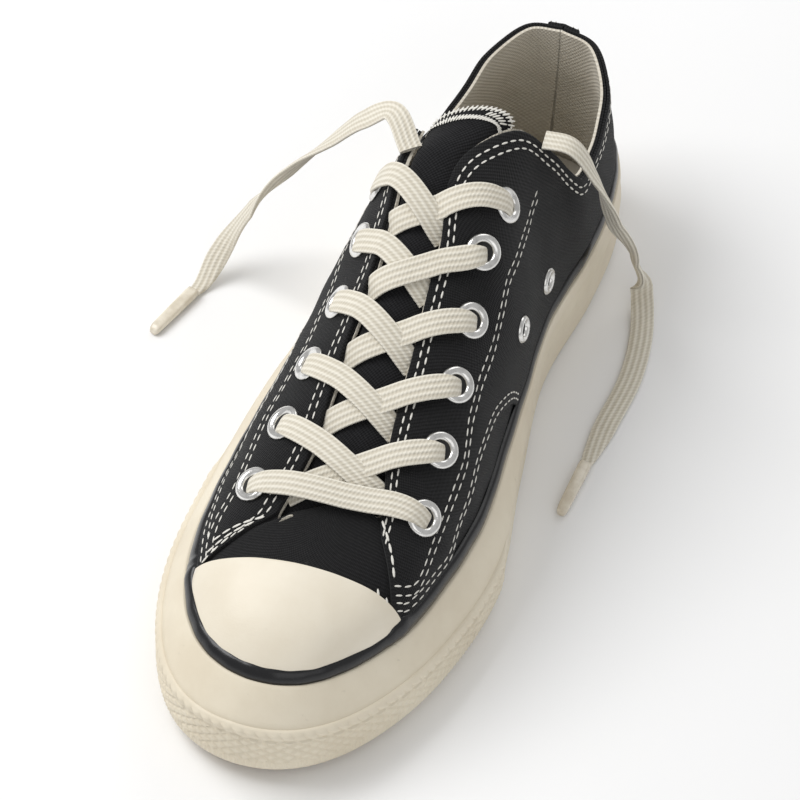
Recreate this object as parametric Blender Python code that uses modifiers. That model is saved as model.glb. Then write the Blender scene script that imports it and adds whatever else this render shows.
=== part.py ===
"""Low canvas sneaker, right shoe, as separate solids.

Frame: metres, +Z up, toe towards -Y, medial side at +X, sole on Z = 0.
The upper is a loft of ribs. Each rib is a cubic curve that starts on the feather line round the sole
and ends on the top edge, which runs along collar, eyestay and throat. Shells at set distances from
that surface give lining wall, quarters, toe cap, tape and foxing.
"""

from functools import lru_cache

import bmesh
import bpy
import numpy as np
from mathutils import Matrix, Vector

# Driving dimensions
LENGTH = 0.274
BALL_WIDTH = 0.098
EYESTAY_HEIGHT = 0.100
TOE_SPRING = 0.003
TOE_SPRING_REACH = 0.060
ARCH_RISE = 0.0015

# Layers of the sole
GAP = 0.0003
OUTSOLE_THICKNESS = 0.0095
INSOLE_THICKNESS = 0.0035
OUTSOLE_INSET = 0.0038
FOXING_RIM = 0.0024
FOXING_HEIGHT = 0.0275
FOXING_HEEL_RISE = 0.003
FOXING_TOE_RISE = 0.006
FOXING_LIFT = 0.0008
FOXING_STEP = 0.0008
FOXING_FOOT = 0.006
FOXING_CHAMFER = 0.0015
BUMPER_THICKNESS = 0.0018
BUMPER_HEIGHT = 0.0190
BUMPER_TOE_RISE = 0.005
BUMPER_START = 0.57
BUMPER_FADE = 0.06
BUMPER_FOOT = 0.0036
BUMPER_ROUND = 0.0012
TAPE_WIDTH = 0.0062
TAPE_THICKNESS = 0.0022

# Layers of the upper
UPPER_WALL = 0.0018
QUARTER_THICKNESS = 0.0008
QUARTER_GAP = 0.0007
EYESTAY_WIDTH = 0.047
CAP_THICKNESS = 0.0016
CAP_REAR = 0.0465
CAP_SKEW = 0.097
CAP_TO_QUARTER = 0.012
STRIP_THICKNESS = 0.0007
STRIP_HALF_WIDTH = 0.0085
TONGUE_THICKNESS = 0.0022
TONGUE_TUCK = 0.0130
TONGUE_FREE_TUCK = 0.0075
TONGUE_UNDER_VAMP = 0.008
TONGUE_REACH = 0.009
TONGUE_CROWN = 0.0024
TONGUE_CLEARANCE = 0.0024

# Eyelets and lace
EYELET_ROWS = 6
EYELET_PITCH = 0.0216
FIRST_EYELET = 0.0155
EYELET_INSET = {"medial": 0.0208, "lateral": 0.0152}
EYELET_LEAD = {"medial": 0.0, "lateral": 0.0040}
EYELET_RADIUS = 0.0058
EYELET_BORE = 0.0030
EYELET_HEIGHT = 0.0012
EYELET_LIFT = 0.0006
VENT_RADIUS = 0.0044
VENT_BORE = 0.0022
LACE_WIDTH = 0.0076
LACE_THICKNESS = 0.0016
LACE_LIFT = 0.0011
LACE_END_RADIUS = 0.0018
AGLET_RADIUS = 0.0016
AGLET_LENGTH = 0.022

# Loft resolution
RIB_LEVELS = 9
RING_STEPS = 9
CORD_POINTS = 22
TONGUE_POINTS = 9
BAR_STEPS = 11

# Search for a place of the throat in plan: its two test steps, how much of each move is made, and the turns
SEARCH_STEPS = (0.0001, 0.001)
SEARCH_PACE = 0.8
SEARCH_TURNS = 25

# Sole outline, heel to toe at equal steps of the station, as shares of BALL_WIDTH: half width, centre (positive
# towards the medial side), and how far inside the outline the upper starts, on the medial and lateral side
OUTLINE = [
    (0.000, 0.020, 0.049, 0.049),
    (0.217, 0.022, 0.049, 0.049),
    (0.316, 0.022, 0.049, 0.049),
    (0.352, 0.002, 0.049, 0.049),
    (0.366, -0.036, 0.055, 0.050),
    (0.438, -0.032, 0.072, 0.060),
    (0.490, 0.000, 0.110, 0.070),
    (0.462, -0.014, 0.112, 0.080),
    (0.360, -0.028, 0.104, 0.082),
    (0.204, -0.036, 0.090, 0.084),
    (0.000, -0.038, 0.084, 0.084),
]

# Ribs, heel to toe. station places the foot of the rib on the outline. back is the top edge's place from the
# heel as a share of LENGTH, side its half width and shift its centre as shares of BALL_WIDTH, and height a
# share of EYESTAY_HEIGHT. lean is the outward lean at the foot and rise the slope at the top of each side, in
# degrees. foot_pull and the sides' pull are the lengths of the curve's handles as shares of the chord. ribs
# counts the ribs to the next row.
RIB_COLUMNS = (
    "station", "back", "side", "shift", "height", "medial_lean", "lateral_lean", "foot_pull",
    "medial_rise", "medial_pull", "lateral_rise", "lateral_pull", "ribs",
)
RIBS = [
    (0.000, 0.026, 0.000, 0.034, 0.742, 8.0, 8.0, 0.36, 84.0, 0.30, 84.0, 0.30, 2),
    (0.090, 0.038, 0.118, 0.040, 0.740, 8.0, 8.0, 0.36, 84.0, 0.30, 84.0, 0.30, 2),
    (0.190, 0.096, 0.208, 0.050, 0.722, 8.0, 8.0, 0.36, 84.0, 0.30, 84.0, 0.30, 3),
    (0.290, 0.176, 0.248, 0.056, 0.694, 9.0, 9.0, 0.36, 82.0, 0.30, 82.0, 0.30, 2),
    (0.350, 0.225, 0.262, 0.042, 0.692, 10.0, 9.0, 0.36, 80.0, 0.30, 80.0, 0.30, 1),
    (0.390, 0.252, 0.250, 0.020, 0.760, 11.0, 6.0, 0.36, 72.0, 0.30, 72.0, 0.30, 1),
    (0.420, 0.274, 0.212, -0.002, 0.872, 12.0, 3.0, 0.36, 62.0, 0.32, 68.0, 0.30, 1),
    (0.445, 0.300, 0.146, -0.026, 0.997, 12.0, 0.0, 0.36, 46.0, 0.34, 66.0, 0.30, 1),
    (0.465, 0.345, 0.100, -0.066, 1.022, 11.0, -2.0, 0.36, 14.0, 0.32, 64.0, 0.30, 3),
    (0.530, 0.468, 0.090, -0.039, 0.900, 9.0, -2.0, 0.38, 18.0, 0.36, 56.0, 0.32, 3),
    (0.600, 0.580, 0.104, -0.016, 0.761, 8.0, 1.0, 0.42, 15.0, 0.44, 40.0, 0.36, 2),
    (0.670, 0.691, 0.117, 0.009, 0.627, 7.0, 4.0, 0.46, 14.0, 0.50, 22.0, 0.42, 2),
    (0.720, 0.752, 0.156, 0.017, 0.545, 7.0, 6.0, 0.50, 14.0, 0.52, 14.0, 0.44, 3),
    (0.790, 0.752, 0.111, 0.014, 0.547, 7.0, 7.0, 0.55, 12.0, 0.50, 11.0, 0.40, 2),
    (0.860, 0.749, 0.063, 0.012, 0.553, 7.0, 7.0, 0.58, 12.0, 0.40, 11.0, 0.30, 1),
    (0.930, 0.747, 0.031, 0.012, 0.556, 7.0, 7.0, 0.58, 12.0, 0.32, 12.0, 0.26, 2),
    (1.000, 0.746, 0.000, 0.012, 0.557, 7.0, 7.0, 0.58, 12.0, 0.26, 12.0, 0.26, 0),
]
COLLAR_STATION = 0.35
THROAT_TOP_STATION = 0.455
THROAT_FRONT_STATION = 0.72
TOE_STATION = 0.62

# The throat turns across the shoe: how far its medial edge stands back and up from the lateral edge
THROAT_SKEW_BACK = 0.008
THROAT_SKEW_UP = 0.004

# The quarters' front edge rises off the tape between these stations and then follows the eyestay, whose inner
# edge runs on past the throat and flares: the slope there, and how fast it grows in each metre
QUARTER_EDGE_START = 0.485
QUARTER_EDGE_END = 0.60
STAY_FLARE = {"medial": (0.10, 28.0), "lateral": (0.88, 0.0)}
THROAT_UNIT = 0.010
CAP_START = 0.73
BACK_SEAM = 0.0015
BAND_END_WIDTH = 0.03
BAND_END_STEP = 0.004

# Vents on the medial side: station, and length down the rib from the top edge
VENTS = {"vent_upper": (0.418, 0.0439), "vent_lower": (0.473, 0.0612)}

# Shares of a lace bar's way, from its own eyelet to the far edge, at which build_laces gives its height
BAR_SHARES = (-0.02, 0.16, 0.40, 0.60, 0.77, 0.90)

# Rows of the tongue: place along it (-1 under the vamp, 0 and 1 the throat's ends, 2 its own top), how much of
# the tuck under the eyestays it keeps, and how far its width narrows
TONGUE_ROWS = [
    (-1.00, 1.00, 1.00),
    (0.00, 1.00, 1.00),
    (0.18, 1.00, 1.00),
    (0.36, 1.00, 1.00),
    (0.54, 1.00, 1.00),
    (0.70, 0.85, 1.00),
    (0.84, 0.35, 1.00),
    (0.94, 0.10, 1.00),
    (1.20, 0.00, 1.00),
    (1.60, 0.00, 0.98),
    (1.88, 0.00, 0.86),
    (2.00, 0.00, 0.66),
]

# Routes of the lace's free ends, from the top eyelets over the edge and down to the floor
LACE_END_MEDIAL = [
    (0.0198, 0.0655, 0.0938),
    (0.0272, 0.0665, 0.0938),
    (0.0372, 0.0678, 0.0800),
    (0.0430, 0.0718, 0.0580),
    (0.0470, 0.0861, 0.0260),
    (0.0500, 0.0889, 0.0060),
    (0.0530, 0.0813, 0.0022),
    (0.0571, 0.0595, 0.0022),
    (0.0565, 0.0361, 0.0022),
    (0.0560, 0.0177, 0.0022),
]
LACE_END_LATERAL = [
    (-0.0150, 0.0385, 0.1023),
    (-0.0255, 0.0490, 0.1050),
    (-0.0349, 0.0490, 0.0970),
    (-0.0440, 0.0500, 0.0840),
    (-0.0595, 0.0526, 0.0600),
    (-0.0753, 0.0548, 0.0300),
    (-0.0845, 0.0497, 0.0090),
    (-0.0875, 0.0400, 0.0022),
    (-0.0885, 0.0365, 0.0022),
]


def column(name):
    return np.array([row[RIB_COLUMNS.index(name)] for row in RIBS], float)


def unit(vectors):
    vectors = np.asarray(vectors, float)
    return vectors / np.linalg.norm(vectors, axis=-1, keepdims=True)


def smooth(knots, values, at):
    """Cubic curve through the values, each slope a mean of its neighbours' steps."""
    spans = np.diff(knots)
    steps = np.diff(values) / spans
    slopes = np.concatenate([steps[:1], np.zeros(len(steps) - 1), steps[-1:]])
    slopes[1:-1] = (steps[:-1] * spans[1:] + steps[1:] * spans[:-1]) / (spans[1:] + spans[:-1])
    cell = np.clip(np.searchsorted(knots, at, side="right") - 1, 0, len(spans) - 1)
    part = (at - knots[cell]) / spans[cell]
    rise = slopes[cell] * spans[cell]
    fall = slopes[cell + 1] * spans[cell]
    drop = values[cell + 1] - values[cell]
    return values[cell] + part * (rise + part * (3 * drop - 2 * rise - fall + part * (rise + fall - 2 * drop)))


def loop_smooth(stations, medial, lateral, at):
    """Cubic curve that closes round heel and toe. at runs 0 heel, 1 toe on the medial side, 2 heel again."""
    knots = np.concatenate([stations, 2.0 - stations[-2::-1]])
    values = np.concatenate([medial, lateral[-2::-1]])
    knots = np.concatenate([knots[-3:-1] - 2.0, knots, knots[1:3] + 2.0])
    values = np.concatenate([values[-3:-1], values, values[1:3]])
    return smooth(knots, values, at)


def station_of(at):
    """Share of the way from heel to toe, for a place round the shoe."""
    return np.arccos(np.cos(np.pi * at)) / np.pi


def side_of(at):
    """1 on the medial side, -1 on the lateral side."""
    return np.where(np.mod(at, 2.0) <= 1.0, 1.0, -1.0)


def outline_rows():
    rows = np.array(OUTLINE) * BALL_WIDTH
    return np.linspace(0.0, 1.0, len(rows)), rows


def feather_inset(at):
    """How far inside the outline the upper starts."""
    stations, rows = outline_rows()
    return loop_smooth(stations, rows[:, 2], rows[:, 3], at)


def outline(at, inset=0.0):
    """Plan of the foxing's widest line moved inwards, and its inward direction."""
    stations, rows = outline_rows()
    half = (LENGTH - BUMPER_THICKNESS) / 2

    def point(place):
        across = loop_smooth(stations, rows[:, 1] + rows[:, 0], rows[:, 1] - rows[:, 0], place)
        return np.stack([across, half * np.cos(np.pi * place) + BUMPER_THICKNESS / 2], -1)

    step = 0.001
    along = unit(point(at + step) - point(at - step))
    inward = np.stack([along[..., 1], -along[..., 0]], -1)
    return point(at) + inward * np.asarray(inset)[..., None], inward


def spring(y):
    """Height of the sole's underside: flat, then rising to the toe."""
    forward = np.clip((TOE_SPRING_REACH - LENGTH / 2 - y) / TOE_SPRING_REACH, 0.0, None)
    return TOE_SPRING * forward**2


def top_edge(at):
    """The upper's top edge round collar, eyestay and throat."""
    station = column("station")
    side = column("side")
    edge_x = loop_smooth(station, side, -side, at) * BALL_WIDTH
    place = station_of(at)
    back = smooth(station, column("back"), place)
    height = smooth(station, column("height"), place)
    in_throat = np.clip((place - COLLAR_STATION) / (THROAT_TOP_STATION - COLLAR_STATION), 0.0, 1.0)
    skew = in_throat * np.clip(edge_x / (side.max() * BALL_WIDTH), -1.0, 1.0)
    x = edge_x + smooth(station, column("shift"), place) * BALL_WIDTH
    y = LENGTH / 2 - back * LENGTH + THROAT_SKEW_BACK * skew
    z = height * EYESTAY_HEIGHT + THROAT_SKEW_UP * skew
    return np.stack([x, y, z], -1)


def rib_handles(at):
    """The four control points of the rib at each place round the shoe."""
    plan, inward = outline(at, feather_inset(at))
    foot = np.concatenate([plan, (spring(plan[..., 1]) + OUTSOLE_THICKNESS + GAP)[..., None]], -1)
    top = top_edge(at)
    station = column("station")
    lean = np.radians(loop_smooth(station, column("medial_lean"), column("lateral_lean"), at))[..., None]
    foot_pull = smooth(station, column("foot_pull"), station_of(at))[..., None]
    rise = np.radians(loop_smooth(station, column("medial_rise"), column("lateral_rise"), at))[..., None]
    top_pull = loop_smooth(station, column("medial_pull"), column("lateral_pull"), at)[..., None]
    up = np.array([0.0, 0.0, 1.0])
    inward = np.concatenate([inward, np.zeros_like(inward[..., :1])], -1)
    across = top - foot
    chord = np.linalg.norm(across, axis=-1, keepdims=True)
    across[..., 2] = 0.0
    across = unit(across + 0.1 * BALL_WIDTH * inward)
    foot_handle = foot + chord * foot_pull * (up * np.cos(lean) - inward * np.sin(lean))
    top_direction = across * np.cos(rise) + up * np.sin(rise)
    return foot, foot_handle, top - chord * top_pull * top_direction, top, top_direction


def surface(at, along):
    """Point of the last: along runs from 0 on the feather line to 1 on the top edge."""
    foot, foot_handle, top_handle, top, _ = rib_handles(at)
    along = np.asarray(along)[..., None]
    rest = 1.0 - along
    return foot * rest**3 + 3 * foot_handle * rest**2 * along + 3 * top_handle * rest * along**2 + top * along**3


def shell(at, along, offset):
    """Point of the last moved out along its normal."""
    at, along, offset = np.broadcast_arrays(at, along, offset)
    step = 0.004
    forward = surface(at + step, along) - surface(at - step, along)
    upward = surface(at, along + step) - surface(at, along - step)
    return surface(at, along) + unit(np.cross(upward, forward)) * offset[..., None]


def rib_lengths(at, samples=61):
    """Sampled ribs: the values of along, the points, and the length up to each."""
    along = np.linspace(0.0, 1.0, samples)
    points = surface(np.asarray(at)[:, None], along[None, :])
    steps = np.linalg.norm(np.diff(points, axis=1), axis=-1)
    return along, points, np.concatenate([np.zeros((len(points), 1)), np.cumsum(steps, axis=1)], axis=1)


def along_at_foxing(at, extra=0.0):
    """Where the foxing's top line crosses each rib, plus a length up the rib."""
    along, points, lengths = rib_lengths(at)
    result = []
    for row, measured in zip(points, lengths):
        station = (LENGTH / 2 - row[0, 1]) / LENGTH
        heel = np.clip(1.0 - 2.5 * station, 0.0, 1.0)
        toe = np.clip((station - TOE_STATION) / (1.0 - TOE_STATION), 0.0, 1.0)
        height = spring(row[0, 1]) + FOXING_HEIGHT + FOXING_HEEL_RISE * heel + FOXING_TOE_RISE * toe
        at_line = np.interp(height, row[:, 2], measured)
        result.append(np.interp(at_line + extra, measured, along))
    return np.array(result)


def along_below_edge(at, distance):
    """The value of along at a length down the rib from the top edge."""
    along, _, lengths = rib_lengths(at)
    distance = np.broadcast_to(distance, np.shape(at))
    return np.array([np.interp(row[-1] - down, row, along) for row, down in zip(lengths, distance)])


def rib_places():
    """Places of all ribs round the shoe."""
    stations = column("station")
    counts = column("ribs").astype(int)
    medial = np.concatenate(
        [np.linspace(a, b, n, endpoint=False) for a, b, n in zip(stations, stations[1:], counts)] + [[1.0]]
    )
    return np.concatenate([medial, 2.0 - medial[-2:0:-1]])


def rib_levels(at):
    """Values of along for the loft: feather line, foxing, tape, and even steps to the top edge."""
    line = along_at_foxing(at)
    tape = along_at_foxing(at, TAPE_WIDTH)
    steps = np.linspace(0.0, 1.0, RIB_LEVELS - 2)[None, :]
    above = tape[:, None] + (1.0 - tape[:, None]) * steps
    return np.concatenate([0.0 * line[:, None], 0.5 * line[:, None], line[:, None], above], axis=1)


def between(low, high, steps):
    return low[:, None] + (high - low)[:, None] * np.linspace(0.0, 1.0, steps + 1)[None, :]


# Blender objects


def new_collection(name):
    collection = bpy.data.collections.new(name)
    bpy.context.scene.collection.children.link(collection)
    return collection


def material(name, colour, roughness, metallic=0.0):
    made = bpy.data.materials.new(name)
    made.use_nodes = True
    shader = made.node_tree.nodes["Principled BSDF"]
    shader.inputs["Base Color"].default_value = (*colour, 1.0)
    shader.inputs["Roughness"].default_value = roughness
    shader.inputs["Metallic"].default_value = metallic
    made.diffuse_color = (*colour, 1.0)
    return made


def add_mesh(name, points, faces, surface_material, collection):
    mesh = bpy.data.meshes.new(name)
    mesh.from_pydata([tuple(point) for point in points], [], faces)
    mesh.materials.append(surface_material)
    made = bpy.data.objects.new(name, mesh)
    collection.objects.link(made)
    shaped = bmesh.new()
    shaped.from_mesh(mesh)
    bmesh.ops.recalc_face_normals(shaped, faces=shaped.faces)
    shaped.to_mesh(mesh)
    shaped.free()
    mesh.shade_smooth()
    mesh.set_sharp_from_angle(angle=np.radians(35.0))
    return made


def loop_solid(name, sections, surface_material, collection, closed=True):
    """Solid through closed cross-sections, given as (sections, points, 3). An open run gets end faces."""
    count, size, _ = sections.shape
    faces = []
    for i in range(count if closed else count - 1):
        following = (i + 1) % count
        for j in range(size):
            k = (j + 1) % size
            faces.append((i * size + j, i * size + k, following * size + k, following * size + j))
    if not closed:
        faces.append(tuple(range(size)))
        faces.append(tuple((count - 1) * size + j for j in range(size)))
    return add_mesh(name, sections.reshape(-1, 3), faces, surface_material, collection)


def shell_solid(name, outer, inner, surface_material, collection, closed=False):
    """Thin solid between two grids of the same shape, with faces round their edges."""
    count, size, _ = outer.shape
    layer = count * size

    def index(i, j, side):
        return side * layer + (i % count) * size + j

    faces = []
    for i in range(count if closed else count - 1):
        for j in range(size - 1):
            for side in (0, 1):
                faces.append(
                    (index(i, j, side), index(i, j + 1, side), index(i + 1, j + 1, side), index(i + 1, j, side))
                )
        for j in (0, size - 1):
            faces.append((index(i, j, 0), index(i + 1, j, 0), index(i + 1, j, 1), index(i, j, 1)))
    for i in () if closed else (0, count - 1):
        for j in range(size - 1):
            faces.append((index(i, j, 0), index(i, j + 1, 0), index(i, j + 1, 1), index(i, j, 1)))
    points = np.concatenate([outer.reshape(-1, 3), inner.reshape(-1, 3)])
    return add_mesh(name, points, faces, surface_material, collection)


def plate_solid(name, places, inset, bottom, top, surface_material, collection):
    """Plate inside the sole's outline. inset gives its edge at each place, bottom and top its heights at each y."""
    medial = places[places <= 1.0][1:-1]
    right, _ = outline(medial, inset(medial))
    left, _ = outline(2.0 - medial, inset(2.0 - medial))
    ends, _ = outline(np.array([0.0, 1.0]), inset(np.array([0.0, 1.0])))
    pairs = [(right[i], left[i]) for i in range(len(medial))]
    points = []
    for height in (bottom, top):
        points.append((*ends[0], height(ends[0][1])))
        for pair in pairs:
            points.extend((*point, height(point[1])) for point in pair)
        points.append((*ends[1], height(ends[1][1])))
    size = 2 * len(pairs) + 2
    faces = []
    for base in (0, size):
        faces.append((base, base + 1, base + 2))
        for i in range(len(pairs) - 1):
            first = base + 1 + 2 * i
            faces.append((first, first + 2, first + 3, first + 1))
        faces.append((base + size - 3, base + size - 1, base + size - 2))
    going = [1 + 2 * i for i in range(len(pairs))]
    coming = [2 + 2 * i for i in reversed(range(len(pairs)))]
    rim = [0] + going + [size - 1] + coming
    for a, b in zip(rim, rim[1:] + rim[:1]):
        faces.append((a, b, b + size, a + size))
    return add_mesh(name, points, faces, surface_material, collection)


# Sole


def build_outsole(places, rubber, collection):
    def arch(y):
        share = 0.5 - y / LENGTH
        return ARCH_RISE * float(np.clip(min((share - 0.28) / 0.05, (0.56 - share) / 0.05), 0.0, 1.0))

    def bottom(y):
        return float(spring(y)) + arch(y)

    def top(y):
        return float(spring(y)) + OUTSOLE_THICKNESS

    def inset(at):
        return np.full(len(at), OUTSOLE_INSET)

    return plate_solid("outsole", places, inset, bottom, top, rubber, collection)


def build_insole(places, cloth, collection):
    def bottom(y):
        return float(spring(y)) + OUTSOLE_THICKNESS + GAP

    def top(y):
        return bottom(y) + INSOLE_THICKNESS

    def inset(at):
        return feather_inset(at) + UPPER_WALL + 2 * GAP

    return plate_solid("insole", places, inset, bottom, top, cloth, collection)


def sole_point(at, inset, height):
    plan, _ = outline(at, inset)
    return np.concatenate([plan, (spring(plan[..., 1]) + height)[..., None]], -1)


def bumper_line(at):
    """Height of the step that runs round the foxing, above the sole's underside."""
    toe = np.clip((station_of(at) - TOE_STATION) / (1.0 - TOE_STATION), 0.0, 1.0)
    return BUMPER_HEIGHT + BUMPER_TOE_RISE * toe


def foxing_section(at):
    line = along_at_foxing(at)
    step = bumper_line(at)
    return np.stack(
        [
            sole_point(at, OUTSOLE_INSET - GAP, FOXING_LIFT),
            sole_point(at, OUTSOLE_INSET - GAP, OUTSOLE_THICKNESS + GAP),
            shell(at, 0.0 * line, GAP),
            shell(at, 0.5 * line, GAP),
            shell(at, line, GAP),
            shell(at, line, GAP + FOXING_RIM),
            sole_point(at, FOXING_STEP, step + FOXING_STEP),
            sole_point(at, 0.0, step),
            sole_point(at, 0.0, FOXING_FOOT),
            sole_point(at, FOXING_CHAMFER, FOXING_LIFT),
        ],
        axis=1,
    )


def build_foxing(places, rubber, collection):
    return loop_solid("foxing", foxing_section(places), rubber, collection)


def build_toe_bumper(places, rubber, collection):
    at = places[(places > BUMPER_START) & (places < 2.0 - BUMPER_START)]
    fade = np.clip((station_of(at) - BUMPER_START) / BUMPER_FADE, 0.25, 1.0)
    thickness = BUMPER_THICKNESS * fade
    top = bumper_line(at)
    sections = np.stack(
        [
            sole_point(at, -GAP, FOXING_FOOT),
            sole_point(at, -GAP, top - GAP),
            sole_point(at, -0.7 * thickness, top),
            sole_point(at, -thickness, top - BUMPER_ROUND),
            sole_point(at, -thickness, BUMPER_FOOT + BUMPER_ROUND),
            sole_point(at, -0.6 * thickness, BUMPER_FOOT),
        ],
        axis=1,
    )
    return loop_solid("toe_bumper", sections, rubber, collection, closed=False)


def build_tape(places, rubber, collection):
    low = along_at_foxing(places, GAP)
    high = along_at_foxing(places, TAPE_WIDTH - GAP)
    lower = low + 0.25 * (high - low)
    upper = low + 0.70 * (high - low)
    sections = np.stack(
        [
            shell(places, low, GAP),
            shell(places, high, GAP),
            shell(places, high, GAP + 0.5 * TAPE_THICKNESS),
            shell(places, upper, GAP + TAPE_THICKNESS),
            shell(places, lower, GAP + TAPE_THICKNESS),
            shell(places, low, GAP + 0.7 * TAPE_THICKNESS),
        ],
        axis=1,
    )
    return loop_solid("trim_tape", sections, rubber, collection)


# Upper


def build_upper(places, canvas, collection):
    levels = rib_levels(places)
    outer = shell(places[:, None], levels, 0.0)
    inner = shell(places[:, None], levels, -UPPER_WALL)
    return shell_solid("upper", outer, inner, canvas, collection, closed=True)


def crossing(values, along):
    """Where the values on each rib turn positive for good."""
    found = []
    for row in values:
        below = np.flatnonzero(row < 0.0)
        if len(below) == 0:
            found.append(0.0)
        elif below[-1] == len(row) - 1:
            found.append(1.0)
        else:
            cell = slice(below[-1], below[-1] + 2)
            found.append(np.interp(0.0, row[cell], along[cell]))
    return np.array(found)


def cap_rear(at):
    """Where the cap's rear edge, which runs slightly askew, crosses each rib, or 0 behind it."""
    along, points, _ = rib_lengths(at)
    line = CAP_REAR - LENGTH / 2 + CAP_SKEW * points[..., 0]
    behind = points[:, 0, 1] > line[:, 0]
    return np.where(behind, 0.0, crossing(points[..., 1] - line, along))


def stay_edge(at):
    """The inner edge of the eyestay on each rib: the throat's edge, and past it a line to the toe cap."""
    along, points, _ = rib_lengths(at)
    side = side_of(at)[:, None]
    corner = top_edge(np.where(side > 0, THROAT_FRONT_STATION, 2.0 - THROAT_FRONT_STATION))
    ahead = np.clip(corner[..., 1] - points[..., 1], 0.0, None)
    slope, growth = (np.where(side > 0, *pair) for pair in zip(STAY_FLARE["medial"], STAY_FLARE["lateral"]))
    line = side * corner[..., 0] + slope * ahead + growth * ahead**2
    edge = crossing(line - side * points[..., 0], along)
    return np.where(station_of(at) > THROAT_FRONT_STATION, edge, 1.0)


def quarter_lower_edge(at):
    """Lower edge of a quarter: down to the tape behind, then up along the eyestay, short of the toe cap."""
    tape = along_at_foxing(at, TAPE_WIDTH)
    part = (station_of(at) - QUARTER_EDGE_START) / (QUARTER_EDGE_END - QUARTER_EDGE_START)
    lift = np.sin(0.5 * np.pi * np.clip(part, 0.0, 1.0))
    stay = np.maximum(along_below_edge(at, EYESTAY_WIDTH), tape)
    return np.maximum(tape + (stay - tape) * lift, cap_rear(at) + CAP_TO_QUARTER)


def run_of_ribs(places, start, stop, edges):
    """Places from start to stop where the band between its edges is wide enough, with the band's own two ends."""
    fine = np.linspace(start, stop, 400)
    low, high = edges(fine)
    fine = fine[high - low > BAND_END_WIDTH]
    inside = places[(places > fine[0] + BAND_END_STEP) & (places < fine[-1] - BAND_END_STEP)]
    return np.concatenate([fine[:1], inside, fine[-1:]])


def band_solid(name, at, edges, lift, thickness, surface_material, collection):
    """Layer on the last between two lines of it."""
    levels = between(*edges(at), RIB_LEVELS - 3)
    outer = shell(at[:, None], levels, lift + thickness)
    inner = shell(at[:, None], levels, lift)
    return shell_solid(name, outer, inner, surface_material, collection)


def build_quarters(places, canvas, collection):
    def edges(at):
        return quarter_lower_edge(at), stay_edge(at)

    for side, ends in (("medial", (BACK_SEAM, 1.0)), ("lateral", (1.0, 2.0 - BACK_SEAM))):
        at = run_of_ribs(places, *ends, edges)
        band_solid(f"quarter_{side}", at, edges, QUARTER_GAP, QUARTER_THICKNESS, canvas, collection)


def build_toe_cap(places, rubber, collection):
    def edges(at):
        return along_at_foxing(at, TAPE_WIDTH), cap_rear(at)

    at = run_of_ribs(places, CAP_START, 2.0 - CAP_START, edges)
    band_solid("toe_cap", at, edges, GAP, CAP_THICKNESS, rubber, collection)


def build_heel_strip(canvas, collection):
    step = 0.01
    ends, _ = outline(np.array([0.0, step]))
    reach = STRIP_HALF_WIDTH * step / np.linalg.norm(ends[1] - ends[0])
    at = np.linspace(-reach, reach, 5)
    levels = between(along_at_foxing(at, TAPE_WIDTH), np.ones(len(at)), RIB_LEVELS - 3)
    base = QUARTER_GAP + QUARTER_THICKNESS + GAP
    outer = shell(at[:, None], levels, base + STRIP_THICKNESS)
    inner = shell(at[:, None], levels, base)
    return shell_solid("heel_strip", outer, inner, canvas, collection)


# Throat


@lru_cache(maxsize=None)
def throat_length():
    station = np.linspace(THROAT_FRONT_STATION, THROAT_TOP_STATION, 80)
    edge = top_edge(station)
    return station, np.concatenate([[0.0], np.cumsum(np.linalg.norm(np.diff(edge, axis=0), axis=-1))])


def throat_surface(distance, across):
    """Point of the throat. distance runs back from its front corner. across is -1 on the lateral edge and 1
    on the medial one; between them the surface bridges the throat, and beyond them it goes down the rib,
    one THROAT_UNIT to each whole number."""
    station, lengths = throat_length()
    inside = float(np.clip(distance, 0.0, lengths[-1]))
    place = float(np.interp(inside, lengths, station))
    if distance != inside:
        step = 0.004 if distance > inside else -0.004
        near = throat_surface(inside - step, across)
        edge = throat_surface(inside, across)
        return edge + (edge - near) / abs(step) * abs(distance - inside)
    at = place if across > 0 else 2.0 - place
    if abs(across) > 1.0:
        down = along_below_edge(np.array([at]), THROAT_UNIT * (abs(across) - 1.0))
        return surface(np.array([at]), down)[0]
    _, _, _, ends, directions = rib_handles(np.array([2.0 - place, place]))
    pull = 0.9 * np.linalg.norm(ends[1] - ends[0])
    part = (across + 1.0) / 2.0
    rise = directions[0] * pull
    fall = -directions[1] * pull
    drop = ends[1] - ends[0]
    return ends[0] + part * (rise + part * (3 * drop - 2 * rise - fall + part * (rise + fall - 2 * drop)))


def throat_point(distance, across, offset):
    """Point of the throat moved out along its normal, and the normal."""
    forward = throat_surface(distance - 0.001, across) - throat_surface(distance + 0.001, across)
    sideways = throat_surface(distance, across - 0.03) - throat_surface(distance, across + 0.03)
    normal = unit(np.cross(forward, sideways))
    if normal[2] < 0:
        normal = -normal
    return throat_surface(distance, across) + normal * offset, normal


def throat_at(plan):
    """Distance and across of the throat's point over a place in plan."""
    found = np.array([0.5 * throat_length()[1][-1], 0.0])
    steps = np.diag(SEARCH_STEPS)
    for _ in range(SEARCH_TURNS):
        here = throat_surface(*found)[:2]
        slopes = [(throat_surface(*(found + step))[:2] - here) / step.sum() for step in steps]
        move = np.linalg.solve(np.stack(slopes, axis=1), plan - here)
        found = found + SEARCH_PACE * np.clip(move, -0.5, 0.5)
    return found


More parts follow.
